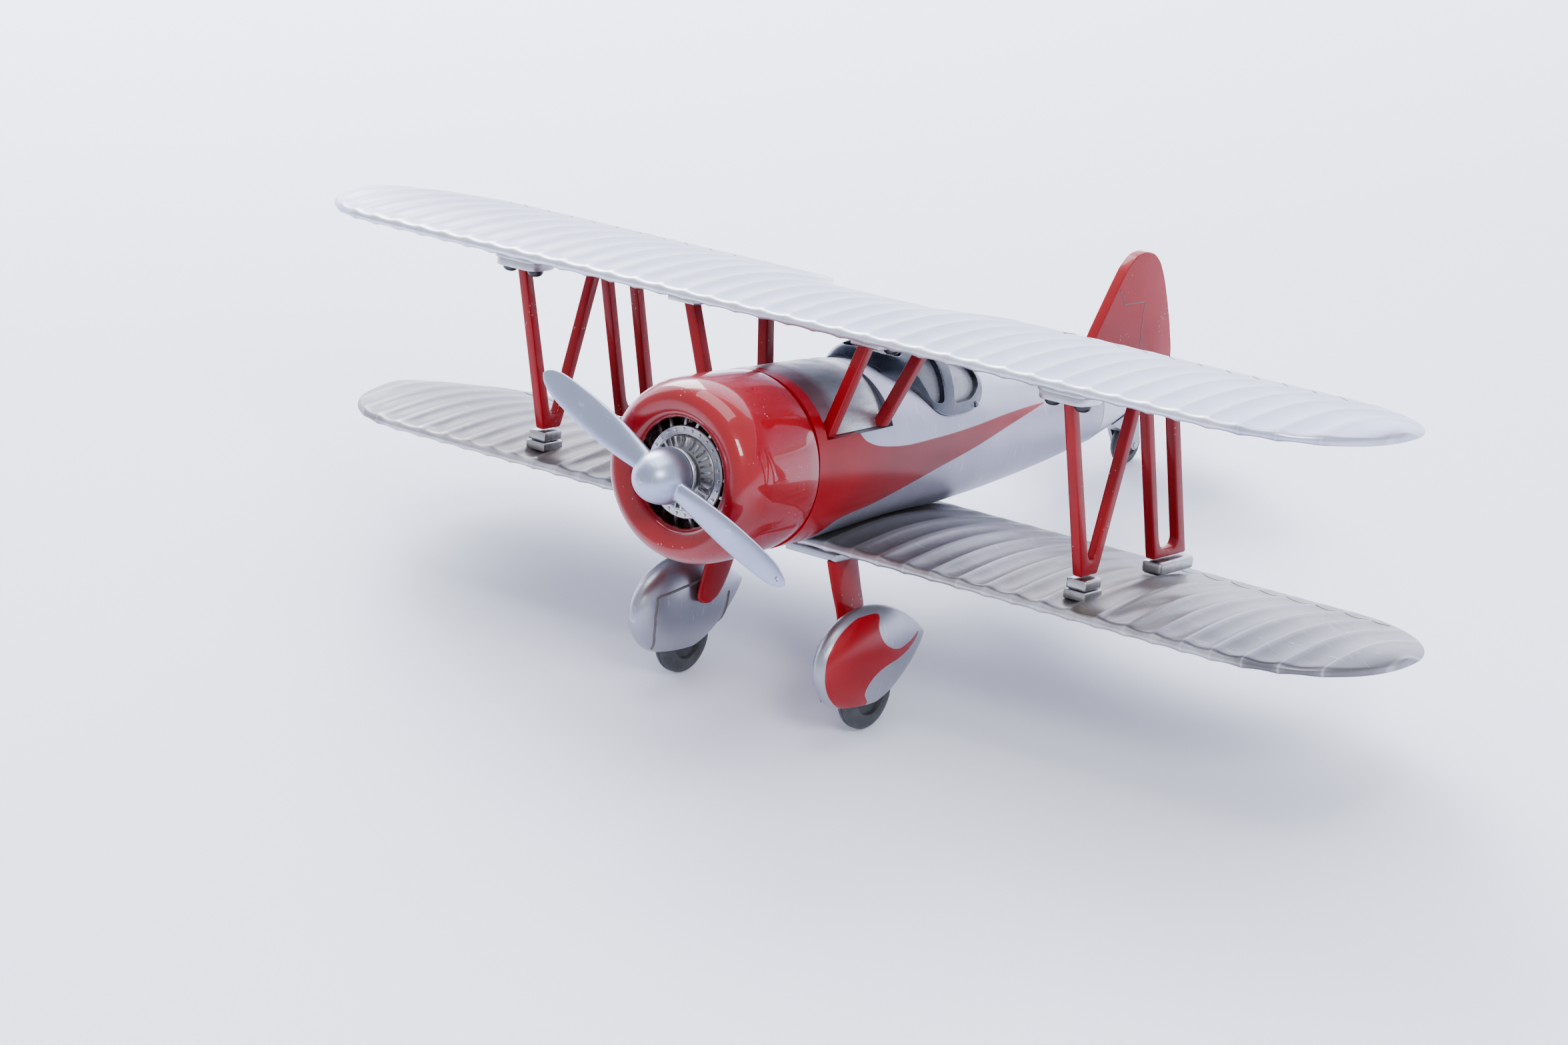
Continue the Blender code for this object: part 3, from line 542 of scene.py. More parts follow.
def cylinder(name, radius, length, centre, finish, turn=(0, 90, 0), edge=0, **where):
    mesh = bmesh.new()
    ends = dict(radius1=radius, radius2=radius, cap_ends=True)
    bmesh.ops.create_cone(mesh, segments=48, depth=length, **ends)
    obj = piece(name, mesh_data(name, mesh), finish, location=centre, turn=turn, **where)
    return bevelled(obj, edge) if edge else smooth(obj)


def loft(name, rings, finish, angle=35, **where):
    """A solid through rings of points, capped at its ends."""
    mesh = bmesh.new()
    made = [[mesh.verts.new(point) for point in ring] for ring in rings]
    for first, second in zip(made, made[1:]):
        for i, point in enumerate(first):
            j = (i + 1) % len(first)
            mesh.faces.new((point, first[j], second[j], second[i]))
    mesh.faces.new(made[0])
    mesh.faces.new(made[-1])
    return smooth(piece(name, mesh_data(name, mesh), finish, **where), angle)


def turned(name, profile, finish, steps=96, turn=(90, 0, 0), centre=(0, 0, 0), **where):
    """A closed profile of (radius, height) turned about local Z; points on the axis close it."""
    mesh = bmesh.new()
    columns = []
    for x, y in circle(1, steps):
        columns.append([mesh.verts.new((r * x, r * y, h)) for r, h in profile])
    for i in range(steps):
        first, second = columns[i], columns[(i + 1) % steps]
        for j in range(len(profile)):
            k = (j + 1) % len(profile)
            mesh.faces.new((first[j], second[j], second[k], first[k]))
    bmesh.ops.remove_doubles(mesh, verts=mesh.verts, dist=1e-5)
    return smooth(piece(name, mesh_data(name, mesh), finish, location=centre, turn=turn, **where))


def plate(name, outline, thickness, finish, edge=0, segments=3, x=0, flat=None, **where):
    """A side view of (y, z) points, thick along X and centred on x; or a plan at height flat."""
    rings = []
    for away in (-thickness / 2, thickness / 2):
        rings.append([(x + away, a, b) if flat is None else (a, b, flat + away) for a, b in outline])
    obj = loft(name, rings, finish, **where)
    return bevelled(obj, edge, segments) if edge else obj


def pole(name, ends, section, finish, level=False, **where):
    """A bar with one section from end to end, square to the bar or else kept level."""
    first, last = (Vector(end) for end in ends)
    turn = Matrix.Identity(3) if level else (last - first).to_track_quat("Z", "Y").to_matrix()
    rings = [[end + turn @ Vector((*point, 0)) for point in section] for end in (first, last)]
    return loft(name, rings, finish, **where)


def circle(radius, count, shift=0):
    turns = [2 * pi * (i + shift) / count for i in range(count)]
    return [(radius * cos(turn), radius * sin(turn)) for turn in turns]


def arc(steps, first=0):
    """Angles of a quarter turn in equal steps."""
    return [pi / 2 * i / steps for i in range(first, steps + 1)]


def oblong(x, y, half_x, half_y):
    corners = (-1, -1), (1, -1), (1, 1), (-1, 1)
    return [(x + half_x * a, y + half_y * b) for a, b in corners]


def rounded(outline, radii, steps=5):
    """The outline with its corners turned into arcs; radii is one number or one for each."""
    out = []
    for i, corner in enumerate(outline):
        radius = radii[i] if isinstance(radii, tuple) else radii
        here = Vector(corner)
        before = Vector(outline[i - 1]) - here
        after = Vector(outline[(i + 1) % len(outline)]) - here
        if radius <= 0:
            out.append(tuple(here))
            continue
        reach = min(radius, before.length * 0.48, after.length * 0.48)
        start = here + before.normalized() * reach
        end = here + after.normalized() * reach
        for step in range(steps + 1):
            t = step / steps
            out.append(tuple(start * (1 - t) ** 2 + here * 2 * t * (1 - t) + end * t * t))
    return out


def smooth_outline(points, steps):
    """A closed Catmull-Rom curve through the points."""
    out = []
    count = len(points)
    for i in range(count):
        p0, p1, p2, p3 = (Vector(points[(i + k) % count]) for k in (-1, 0, 1, 2))
        for t in (step / steps for step in range(steps)):
            spot = 2 * p1 + (p2 - p0) * t + (2 * p0 - 5 * p1 + 4 * p2 - p3) * t * t
            out.append(tuple(0.5 * (spot + (3 * p1 - p0 - 3 * p2 + p3) * t**3)))
    return out


def blend(table, y):
    """Smooth values between the rows of a table whose first column is y."""
    if y <= table[0][0]:
        return table[0][1:]
    if y >= table[-1][0]:
        return table[-1][1:]
    i = next(i for i, row in enumerate(table[1:]) if y <= row[0])
    row, after = table[i], table[i + 1]
    before, beyond = table[max(i - 1, 0)], table[min(i + 2, len(table) - 1)]
    span = after[0] - row[0]
    t = (y - row[0]) / span
    out = []
    for b, r, a, c in list(zip(before, row, after, beyond))[1:]:
        slope1 = (a - b) / (after[0] - before[0]) * span
        slope2 = (c - r) / (beyond[0] - row[0]) * span
        start, start_slope = 2 * t**3 - 3 * t**2 + 1, t**3 - 2 * t**2 + t
        end, end_slope = -2 * t**3 + 3 * t**2, t**3 - t**2
        out.append(start * r + start_slope * slope1 + end * a + end_slope * slope2)
    return tuple(out)


def scribe(name, target, points, along, finish, radius=0.13):
    """A thin groove line on a surface; its points are found by looking along a direction from outside."""
    tree = BVHTree.FromObject(target, bpy.context.evaluated_depsgraph_get())
    route = []
    spots = [Vector(point) for point in points]
    for first, second in zip(spots, spots[1:]):
        count = max(2, int((second - first).length))
        route += [first.lerp(second, i / count) for i in range(count)]
    way = Vector(along)
    hits = [tree.ray_cast((spot - way * 60) * MM, way)[0] for spot in (*route, spots[-1])]
    hits = [hit + way * 0.05 * MM for hit in hits if hit is not None]
    curve = bpy.data.curves.new(name, "CURVE")
    curve.dimensions = "3D"
    curve.bevel_depth = radius * MM
    curve.bevel_resolution = 2
    curve.use_fill_caps = True
    spline = curve.splines.new("POLY")
    spline.points.add(len(hits) - 1)
    for point, place in zip(spline.points, hits):
        point.co = (*place, 1)
    obj = new_object(name, curve)
    data = evaluated(obj)
    bpy.data.objects.remove(obj, do_unlink=True)
    smooth(piece(name, data, finish))


# --- wings


def wing_outline(x):
    """Leading and trailing edge at a span station."""
    tip_y = 31
    edges = []
    for start, power, middle in ((106, 2.15, 0), (108, 1.9, CHORD)):
        t = min(max((abs(x) - start) / (HALF_SPAN - start), 0), 1)
        edges.append(tip_y + (middle - tip_y) * (1 - t**power) ** (1 / power))
    return edges


def airfoil(x, drop, notch, count=30):
    """One closed section at span station x, over the top and back; a notch clears the cockpits."""
    lead, trail = wing_outline(x)
    if notch:
        t = min(max((24 - abs(x)) / 8, 0), 1)
        trail = min(trail, CHORD - 8 * t * t * (3 - 2 * t))
    chord = max(trail - lead, 0.3)
    bulge = (chord / CHORD) ** 0.5
    between = abs(x) / RIB_PITCH % 1
    near_tip = min(max((HALF_SPAN - 3 - abs(x)) / 8, 0), 1)
    scallop = 4 * between * (1 - between) * near_tip
    sag = SCALLOP * scallop
    lead += EDGE_SCALLOP * scallop
    top, bottom = [], []
    for i in range(count + 1):
        t = (1 - cos(pi * i / count)) / 2
        y = lead + chord * t
        line = -drop * y / CHORD
        nose = sqrt(max(1 - (1 - min(t / 0.02, 1)) ** 2, 0))
        body = sin(pi * t**0.93)
        thick = 0.95 * (1 - t) ** 3 + 0.3
        heel = sqrt(max(1 - max((t - 0.985) / 0.015, 0) ** 2, 0))
        fade = min(t / 0.1, 1) * min((1 - t) / 0.12, 1)
        skin = EDGE_RADIUS * nose * thick * heel * (1 - 0.25 * scallop)
        top.append((y, line + (skin + CAMBER * body - sag * fade) * bulge))
        bottom.append((y, line - (skin + BELLY * body - 0.4 * sag * fade) * bulge))
    return top + bottom[-2:0:-1]


def wing(name, edge, drop, notch, finish):
    pitch = RIB_PITCH / 6
    fine_from = HALF_SPAN - 8
    right = [pitch * i for i in range(ceil(fine_from / pitch))]
    right += [fine_from + (HALF_SPAN - fine_from - 0.1) * sin(turn) for turn in arc(14)]
    right = [round(x, 5) for x in right]
    rings = [
        [(x, edge[0] + y, edge[1] + z) for y, z in airfoil(x, drop, notch)]
        for x in [-x for x in right[:0:-1]] + right
    ]
    return loft(name + "_skin", rings, finish, angle=60, cad=name)


def wings():
    groove = groove_dark("groove")
    upper = wing("upper_wing", UPPER_EDGE, UPPER_DROP, True, wing_silver("wing_light", False))
    lower = wing("lower_wing", LOWER_EDGE, LOWER_DROP, False, wing_silver("wing_pewter_shaded", True))
    # Aileron line: its inner end, its hinge, and where it turns aft and ends near the tip
    ailerons = (
        ("upper", upper, UPPER_EDGE[0], 41, 50.5, 110, 113.5, 2.4),
        ("lower", lower, LOWER_EDGE[0], 63.5, 51, 115, 117.5, 1.5),
    )
    for side, sign in SIDES:
        for name, target, edge, root, hinge, tip, end, aft in ailerons:
            line = ((root, CHORD - 0.6), (root, hinge), (tip, hinge), (end, hinge + aft))
            route = [(sign * x, edge + y, 0) for x, y in line]
            scribe(f"{name}_aileron_{side}", target, route, DOWN, groove)


# --- fuselage


def superellipse(wide, half, turn, power=2.15):
    """Point at an angle on an outline between an ellipse and a box."""
    spot = (wide, cos(turn)), (half, sin(turn))
    return [size * copysign(abs(c) ** (2 / power), c) for size, c in spot]


def oval(wide, half, count):
    return [superellipse(wide, half, 2 * pi * (i + 0.5) / count) for i in range(count)]


def hull(name, table, start, end, finish, steps, inset=0, narrow=1, **where):
    """A solid through a table's sections, each drawn in by the inset."""
    rings = []
    for i in range(steps + 1):
        y = start + (end - start) * i / steps
        wide, top, bottom = blend(table, y)
        ring = oval(wide * narrow - inset, (top - bottom) / 2 - inset, 112)
        rings.append([(across, y, (top + bottom) / 2 + up) for across, up in ring])
    return loft(name, rings, finish, **where)


def fuselage():
    silver = fuselage_paint("fuselage_paint")
    body = hull("fuselage_skin", FUSELAGE, 0.4, 121.6, silver, 96, cad="fuselage_body")
    start, end, ledge = DECK
    long, middle = end - start, (start + end) / 2
    hollow = hull("hollow", FUSELAGE, -1, 117, None, 30, 1.6)
    bay = box("deck_bay", (50, long, 30), (0, middle, ledge + 15), None)
    lead, base = LOWER_EDGE
    clear = 0.12
    saddle = [(lead - clear, -30), (lead - clear, base)]
    saddle += [(lead + y, base + z + clear) for y, z in airfoil(0, LOWER_DROP, False)[1:30]]
    saddle += [(lead + CHORD + clear, base), (lead + CHORD + clear, -30)]
    cut(body, hollow, bay, plate("wing_saddle", saddle, 60, None))
    cut(body, canopy_solid("cockpit_opening", -0.1, 0.1, None))

    metal = deck_metal("deck_metal")
    deck = hull("deck_skin", FUSELAGE, 1, 28, metal, 28, narrow=DECK_NARROW, cad="top_deck")
    trim = box("deck_trim", (50, long - 0.2, 30), (0, middle, ledge + clear + 15), None)
    cut(deck, trim, operation="INTERSECT")
    silver = silver_paint("cone_silver")
    cone = hull("tail_cone_skin", TAIL_CONE, 121.9, 150, silver, 30, cad="tail_cone")
    cut(cone, box("tailplane_seat", (30, 40, 10), (0, 144.2, TAILPLANE_Z + 3.9), None))
    disc = [(0, -1.6), (15.9, -1.6), (16.3, -1.2), (16.3, -3), (15.9, -3.2), (0, -3.2)]
    metal = bare_metal("bulkhead_metal", (0.5, 0.5, 0.52), (0.3, 0.3, 0.31), 0.35)
    turned("firewall_disc", disc, metal, cad="firewall")


def canopy_solid(name, inset, skirt, finish, **where):
    """A solid under the canopy's arches, drawn in by the inset, with any skirt below the rails."""
    first, last = ARCHES[0][0] + inset, ARCHES[-1][0] - inset
    rings = []
    for i in range(37):
        y = first + (last - first) * i / 36
        wide, rail, crest = blend(ARCHES, y)
        wide -= inset
        ring = [superellipse(wide, crest - inset - rail, pi * j / 36, 2.3) for j in range(37)]
        ring = [(across, y, rail + max(up, 0)) for across, up in ring]
        if skirt:
            ring = [(wide, y, rail - skirt), *ring, (-wide, y, rail - skirt)]
        rings.append(ring)
    return loft(name, rings, finish, angle=50, **where)


def canopy():
    dark = dark_metal("canopy_dark")
    rails = canopy_solid("canopy_rails", 0, 0, dark, cad="canopy_frame")
    front = [(44.6, 10), (48.2, 9.2), (48.2, 18.6), (40.6, 17.8), (41.8, 14.8)]
    rear = [(52.2, 8.6), (59.6, 8.7), (63, 10.2), (64.2, 12.4), (62.4, 14.8), (57, 17.6), (52.2, 18.4)]
    tools = [
        canopy_solid("rails_hollow", 1.2, 3, None),
        plate("front_pane", rounded(front, 1.4), 60, None),
        plate("rear_pane", rounded(rear, 1.6), 60, None),
    ]
    for middle, half in ((45.85, 2.35), (56.1, 3.9)):
        outline = rounded(oblong(0, middle, 6.5, half), 1.5)
        tools.append(plate("roof_pane", outline, 10, None, flat=26))
    for sign in (1, -1):
        screen = [(1, 36.6), (5, 37.2), (7.4, 39.2), (7.4, 41), (1, 41)]
        screen = rounded([(sign * x, y) for x, y in screen], 0.7)
        tools.append(plate("screen_pane", screen, 30, None, flat=26))
    cut(rails, *tools)
    bevelled(rails, 0.22, angle=40)
    glass = canopy_solid("canopy_panes", 1.3, 0, pane("clear_pane"), cad="canopy_glass")
    cut(glass, canopy_solid("panes_hollow", 1.9, 3, None))
    cabin = moulding("cabin_grey", (0.42, 0.43, 0.47))
    tub = box("cabin_tub", (21, 30, 7), (0, 52.5, 1.2), cabin, cad="cockpit_tub")
    cut(tub, box("tub_hollow", (19, 28, 7), (0, 52.5, 2.4), None))
    for name, seat, panel in (("front", 46.5, 41.4), ("rear", 60, 54.8)):
        box(f"{name}_seat", (9, 2.2, 9.6), (0, seat, 3.4), cabin, 0.7)
        box(f"{name}_seat_base", (9, 5, 2.4), (0, seat - 3.2, 1.4), cabin, 0.8)
        box(f"{name}_panel", (12, 1.2, 5), (0, panel, 6), dark, 0.4)
    catch = [(0, 0.5), (0.45, 0.45), (0.7, 0.1), (0.7, -0.6), (0, -0.6)]
    for side, sign in SIDES:
        for index in range(2):
            where = (sign * 13.2, 60.2 + 1.8 * index, 7.3)
            turned(f"catch_{side}_{index}", catch, dark, 24, (0, 90 * sign, 0), where)


# --- engine and propeller


def cowl():
    outer, mouth, belt = COWL_RADIUS, COWL_MOUTH, 15
    inner = outer - 1.5
    lip = (outer + mouth) / 2
    deep = COWL_LENGTH - LIP_DEPTH
    rear = ((0.75, 0), (0.5, 0.15), (0.42, 0.5), (0.2, 4), (0.05, 9))
    profile = [(outer - less, y) for less, y in rear]
    for turn in arc(24):
        reach = (COWL_LENGTH - belt) * sin(turn) ** 0.85
        profile.append((lip + (outer - lip) * cos(turn), belt + reach))
    for turn in arc(16, 1):
        profile.append((lip - (lip - mouth) * sin(turn), deep + LIP_DEPTH * cos(turn)))
    profile += [(mouth + 0.15, deep - 0.35), (mouth + 1, deep - 0.8)]
    profile += [(inner - 1.8, belt + 2), (inner, belt - 3), (inner - 0.3, 0)]
    turned("cowl_ring", profile, red_paint("cowl_red", 0, 0.8), 192, cad="cowl")
    # A dark ring sits inside the gap behind the cowl as painted shade, so the seam shows as a dark line.
    seam = [(15.5, 1.2), (17.9, 1.2), (17.9, -1.6), (15.5, -1.6)]
    turned("cowl_seam", seam, groove_dark("seam_painted_shade"), 128)


def engine():
    metal = bare_metal("engine_metal", (0.72, 0.72, 0.74), (0.50, 0.49, 0.49), 0.28, 0.35)
    dark = dark_metal("nose_case_dark", (0.10, 0.10, 0.105), (0.5, 0.5, 0.52))
    bright = bare_metal("disc_metal", (0.66, 0.67, 0.71), (0.44, 0.44, 0.47), 0.3, 0.35)
    case = [(9, 14.2), (9.2, 13.6), (9.2, 5.6), (1.6, 5.6), (1.6, 14.2)]
    turned("crankcase", case, metal, cad="engine_cylinders")
    barrel = [(0, 8)]
    for level in range(9):
        low = 9.2 + level * 0.8
        barrel += [(2.2, low), (2.8, low + 0.15), (2.8, low + 0.45), (2.2, low + 0.6)]
    barrel += [(2.3, 16.4), (1.9, 16.8), (0, 16.8)]
    for number in range(9):
        angle = 90 + 40 * number
        turned(f"barrel_{number}", barrel, metal, 28, (0, 90 - angle, 0), (0, -10, 0))
        for offset in (-9, 9):
            lean = radians(angle + offset)
            ends = ((9.3, -19.4), (14, -17.9))
            ends = [(r * cos(lean), y, r * sin(lean)) for r, y in ends]
            pole(f"rod_{number}_{offset + 9}", ends, circle(0.45, 14), bright)
    disc = [(9.6, 20.1), (9.4, 20.3), (8, 20.3), (7.9, 20.1), (6.6, 20.1), (6.6, 14.5), (9.6, 14.5)]
    turned("riveted_disc", disc, bright, cad="engine_disc")
    rivet = [(0, 0.42), (0.26, 0.34), (0.4, 0), (0, 0)]
    for number, (x, z) in enumerate(circle(8.75, 26)):
        turned(f"rivet_{number}", rivet, bright, 12, centre=(x, -20.25, z))
    case = [
        (1.1, 21.7), (4.4, 21.7), (4.8, 21.6), (5.4, 21.2), (7.3, 20.6), (7.7, 20.3), (7.8, 20),
        (6.2, 19.6), (6.2, 14.6), (1.1, 14.6),
    ]
    turned("nose_case", case, dark, cad="engine_nose_case")
    # Every other rib round the nose case is bright metal, as painted highlights on the ribs of the dark
    # case.
    for number, (x, z) in enumerate(circle(6.35, 30)):
        finish, turn = (dark, bright)[number % 2], (0, -12 * number, 0)
        box(f"case_rib_{number}", (2.3, 1.1, 0.42), (x, -20.9, z), finish, 0.1, turn)


def blade_ring(along):
    """Section of a blade some part of the way from root to tip."""
    root = 3.4
    radius = root + (PROP_RADIUS - root) * along
    swell = sin(pi * min(along * 0.62 + 0.18, 1)) ** 0.9
    round_off = sqrt(max(1 - max((along - 0.84) / 0.16, 0) ** 2, 0.0004))
    half_wide = 3.5 * swell * round_off + 0.08
    thick = (1.5 - 1.05 * along) * max(round_off, 0.2)
    pitch = radians(14 * along - 20)
    c, s = cos(pitch), sin(pitch)
    ring = [(half_wide * across, thick * deep) for across, deep in circle(1, 28)]
    return [(radius, across * s + deep * c - BLADE_SET, across * c - deep * s) for across, deep in ring]


def propeller():
    silver = silver_paint("propeller_silver", (0.38, 0.42, 0.55), (0.28, 0.32, 0.43))
    middle = (0, PROP_Y, 0)
    reach = PROP_Y - SPINNER_TIP_Y
    nose = [(SPINNER_RADIUS * sin(turn) ** 0.92, reach * cos(turn)) for turn in arc(24)]
    nose += [(SPINNER_RADIUS, -1.5), (SPINNER_RADIUS - 0.2, -1.6), (0, -1.6)]
    hub = turned("propeller_casting", nose, silver, centre=middle, body="propeller", cad="propeller")
    rings = [blade_ring(i / 40) for i in range(41)]
    for number in range(2):
        turn = (0, PROP_ANGLE + 180 * number, 0)
        cut(hub, loft(f"blade_{number}", rings, None, location=middle, turn=turn), operation="UNION")
    modifier(hub, "REMESH", mode="VOXEL", voxel_size=0.00016)
    modifier(hub, "CORRECTIVE_SMOOTH", use_only_smooth=True, iterations=10, smooth_type="SIMPLE")
    applied(hub, 180)
    turn = radians(PROP_ANGLE)
    out = PROP_RADIUS - 2.2
    where = (out * cos(turn), PROP_Y - BLADE_SET, -out * sin(turn))
    cut(hub, cylinder("dimple", 0.5, 8, where, None, (90, 0, 0)), angle=180)
    metal = bare_metal("shaft_metal", (0.62, 0.62, 0.64), (0.4, 0.4, 0.4), 0.25)
    nut = [(0, 0.2), (0.4, 0.14), (0.62, -0.05), (0.62, -0.5), (0, -0.5)]
    turned("shaft_nut", nut, metal, 24, centre=(0, SPINNER_TIP_Y + 0.1, 0), body="propeller")
    where = dict(body="propeller", cad="prop_shaft")
    cylinder("shaft_bar", 1, 22, (0, -19.5, 0), metal, (90, 0, 0), **where)
    rim = SPINNER_RADIUS - 0.1
    back = [
        (1.3, 1.7), (rim - 0.15, 1.7), (rim, 1.5), (rim - 0.15, 1.1), (rim - 0.3, 1), (rim - 0.15, 0.9),
        (rim - 0.5, 0), (1.3, 0),
    ]
    metal = bare_metal("backplate_metal", (0.46, 0.46, 0.5), (0.26, 0.26, 0.28), 0.35)
    where = dict(body="propeller", cad="spinner_backplate")
    turned("backplate_ring", back, metal, centre=(0, PROP_Y + 3.6, 0), **where)


# --- struts, pads, gear


def struts(side, sign):
    top = STRUT_TOP
    v_foot, u_foot = 18.3, 45.2
    v_top, u_top = (foot - STRUT_LEAN * (top + 11) for foot in (v_foot, u_foot))
    v_shape = [
        (v_foot, -10.9), (v_top, top), (v_top + 2.7, top), (20.2, -6.6), (20.9, -7.6), (22.3, -7.6),
        (22.9, -6.8), (32, top), (34.8, top), (24.9, -9), (24.2, -10.9),
    ]
    u_shape = [
        (u_foot, -11.2), (u_top, top), (u_top + 2.7, top), (46.7, -7.4), (48, -9.2), (52.6, -9.6),
        (53.7, -8.2), (u_top + 9.6, top), (u_top + 12.4, top), (u_foot + 12.4, -11.2),
    ]
    for letter, shape, radii in (
        ("v", v_shape, (0, 0, 0, 1, 0.5, 0.5, 1, 0, 0, 1.2, 0)),
        ("u", u_shape, (0, 0, 0, 1.6, 1.2, 1.2, 1.6, 0, 0, 0)),
    ):
        where = dict(x=sign * STRUT_X, cad=f"strut_{letter}_{side}")
        plate(f"{letter}_strut_{side}", rounded(shape, radii), STRUT_WIDE, red, 0.55, 4, **where)

    pad_x, foot_x = sign * (STRUT_X - 0.2), sign * (STRUT_X + 0.3)
    for name, wide, long, tall, height, node in (
        ("tier_top", 12.2, 9.4, 1.2, 28.55, f"wing_pad_front_{side}"),
        ("tier_low", 11.6, 8.6, 1.9, PAD_Z + 1, ""),
    ):
        outline = rounded(oblong(pad_x, 8.9, wide / 2, long / 2), 3)
        plate(f"{name}_{side}", outline, tall, pad, 0.35, flat=height, cad=node)
    for name, size, spot, finish, edge, node in (
        ("rear_pad", (5.4, 17.6, 2), (pad_x, 40.2, PAD_Z + 1), pad, 0.5, "wing_pad_rear"),
        ("front_foot", (4.8, 6, 2.3), (foot_x, 20.8, -12.4), bright, 0.55, "strut_foot_front"),
        ("socket", (5.2, 6.4, 1.95), (foot_x, 20.8, -14.6), bright, 0.3, "wing_socket"),
        ("rear_foot", (4.8, 13.2, 2.9), (foot_x, 52.2, -13.05), bright, 0.9, "strut_foot_rear"),
    ):
        box(f"{name}_{side}", size, spot, finish, edge, cad=f"{node}_{side}")
    for name, step in (("inner", -3.5), ("outer", 3.5)):
        head = (pad_x + sign * step, 8.2, PAD_Z)
        screw(f"screw_{side}_{name}", head, f"pad_screw_{side}_{name}")


def screw(name, head, node):
    """A domed head with a shallow cross recess, hanging below the point given."""
    dome = [(0, 0), (1.72, 0), (1.75, -0.12)]
    dome += [(1.75 * cos(turn) ** 0.8, -0.25 - 1.25 * sin(turn)) for turn in arc(8)]
    obj = turned(name, dome, black, 40, (0, 0, 0), head, cad=node)
    x, y, z = head
    for turn in (20, 110):
        cut(obj, box("recess", (1.7, 0.34, 0.7), (x, y, z - 1.5), None, turn=(0, 0, turn)))


def cabane(side, sign):
    section = rounded(oblong(0, 0, 1.35, 1.35), 0.45, 4)
    for name, *ends in (
        ("front", (15.3, 6.1, 7.7), (22.5, 6.4, 27.7)),
        ("rear", (15.2, 24.5, 7.7), (21.4, 30.2, 26.7)),
    ):
        ends = [(sign * x, y, z) for x, y, z in ends]
        pole(f"{name}_cabane_{side}", ends, section, red, level=True, cad=f"cabane_{name}_{side}")
    spot = (sign * 23.85, 18.9, 28.15)
    tilt = (-degrees(atan2(UPPER_DROP, CHORD)), 0, 0)
    box(f"long_pad_{side}", (7.3, 30, 1.5), spot, pad, 0.4, tilt, cad=f"cabane_pad_{side}")
    screw(f"deck_screw_{side}", (sign * 26, 10.4, 27.75), f"cabane_screw_{side}")


def spat_rings(x, count=64):
    """Sections of a spat from nose to tail, boxier below the middle than above it."""
    widest = 0.42
    rings = []
    for i in range(49):
        along = 0.0015 + 0.997 * (1 - cos(pi * i / 48)) / 2
        if along < widest:
            swell = wide = sqrt(1 - (1 - along / widest) ** 2)
        else:
            swell = 1 - ((along - widest) / (1 - widest)) ** 1.8
            wide = swell**0.8
        ring = []
        for step in range(count):
            turn = 2 * pi * (step + 0.5) / count
            tall, power = (12, 2.6) if sin(turn) < 0 else (10, 2.1)
            across, up = superellipse(4.95 * wide, tall * swell, turn, power)
            ring.append((x + across, -2 + 37 * along, -38.3 + 2.2 * along + up))
        rings.append(ring)
    return rings


# Outline of the flame on a spat's outer face: y, z in mm
FLAME = (
    (-4.2, -38.5), (-3.4, -34.8), (-0.4, -31.3), (5, -29.3), (13.9, -28.4), (12.9, -31), (13.8, -33.6),
    (16.1, -35.4), (19.9, -36.5), (25, -35.9), (30.2, -34.6), (26.5, -36.9), (21.4, -38.5), (15.6, -39.5),
    (12.2, -40.9), (10.2, -43), (10, -45), (11.8, -47.6), (4, -48.6), (-1.8, -46), (-3.9, -42.4),
)
DOOR_LINES = (
    ((15.2, -32.5), (9, -33.4), (3, -34.7), (2.2, -35.1), (1.8, -39), (2.2, -43), (3.4, -46.6)),
    ((26.4, -37), (26.2, -41), (25.4, -45)),
)
# Gear leg sections: depth below the thrust line, x, y, length along y
LEG = (
    (19.8, 14.9, 16.3, 10.2), (25.5, 16.4, 16.6, 9.8), (31.5, 18, 16.9, 9), (34.8, 18.3, 15.9, 7.8),
    (36.2, 18.35, 15.3, 6), (37, 18.4, 14.9, 3),
)


def inside_by(outline, y, z):
    """Distance from a point to the outline, positive inside it."""
    best = 1e9
    inside = False
    for (y1, z1), (y2, z2) in zip(outline, outline[1:] + outline[:1]):
        dy, dz = y2 - y1, z2 - z1
        t = max(0, min(1, ((y - y1) * dy + (z - z1) * dz) / (dy * dy + dz * dz)))
        best = min(best, hypot(y - y1 - t * dy, z - z1 - t * dz))
        if (z1 > z) != (z2 > z) and y < dy * (z - z1) / dz + y1:
            inside = not inside
    return best if inside else -best


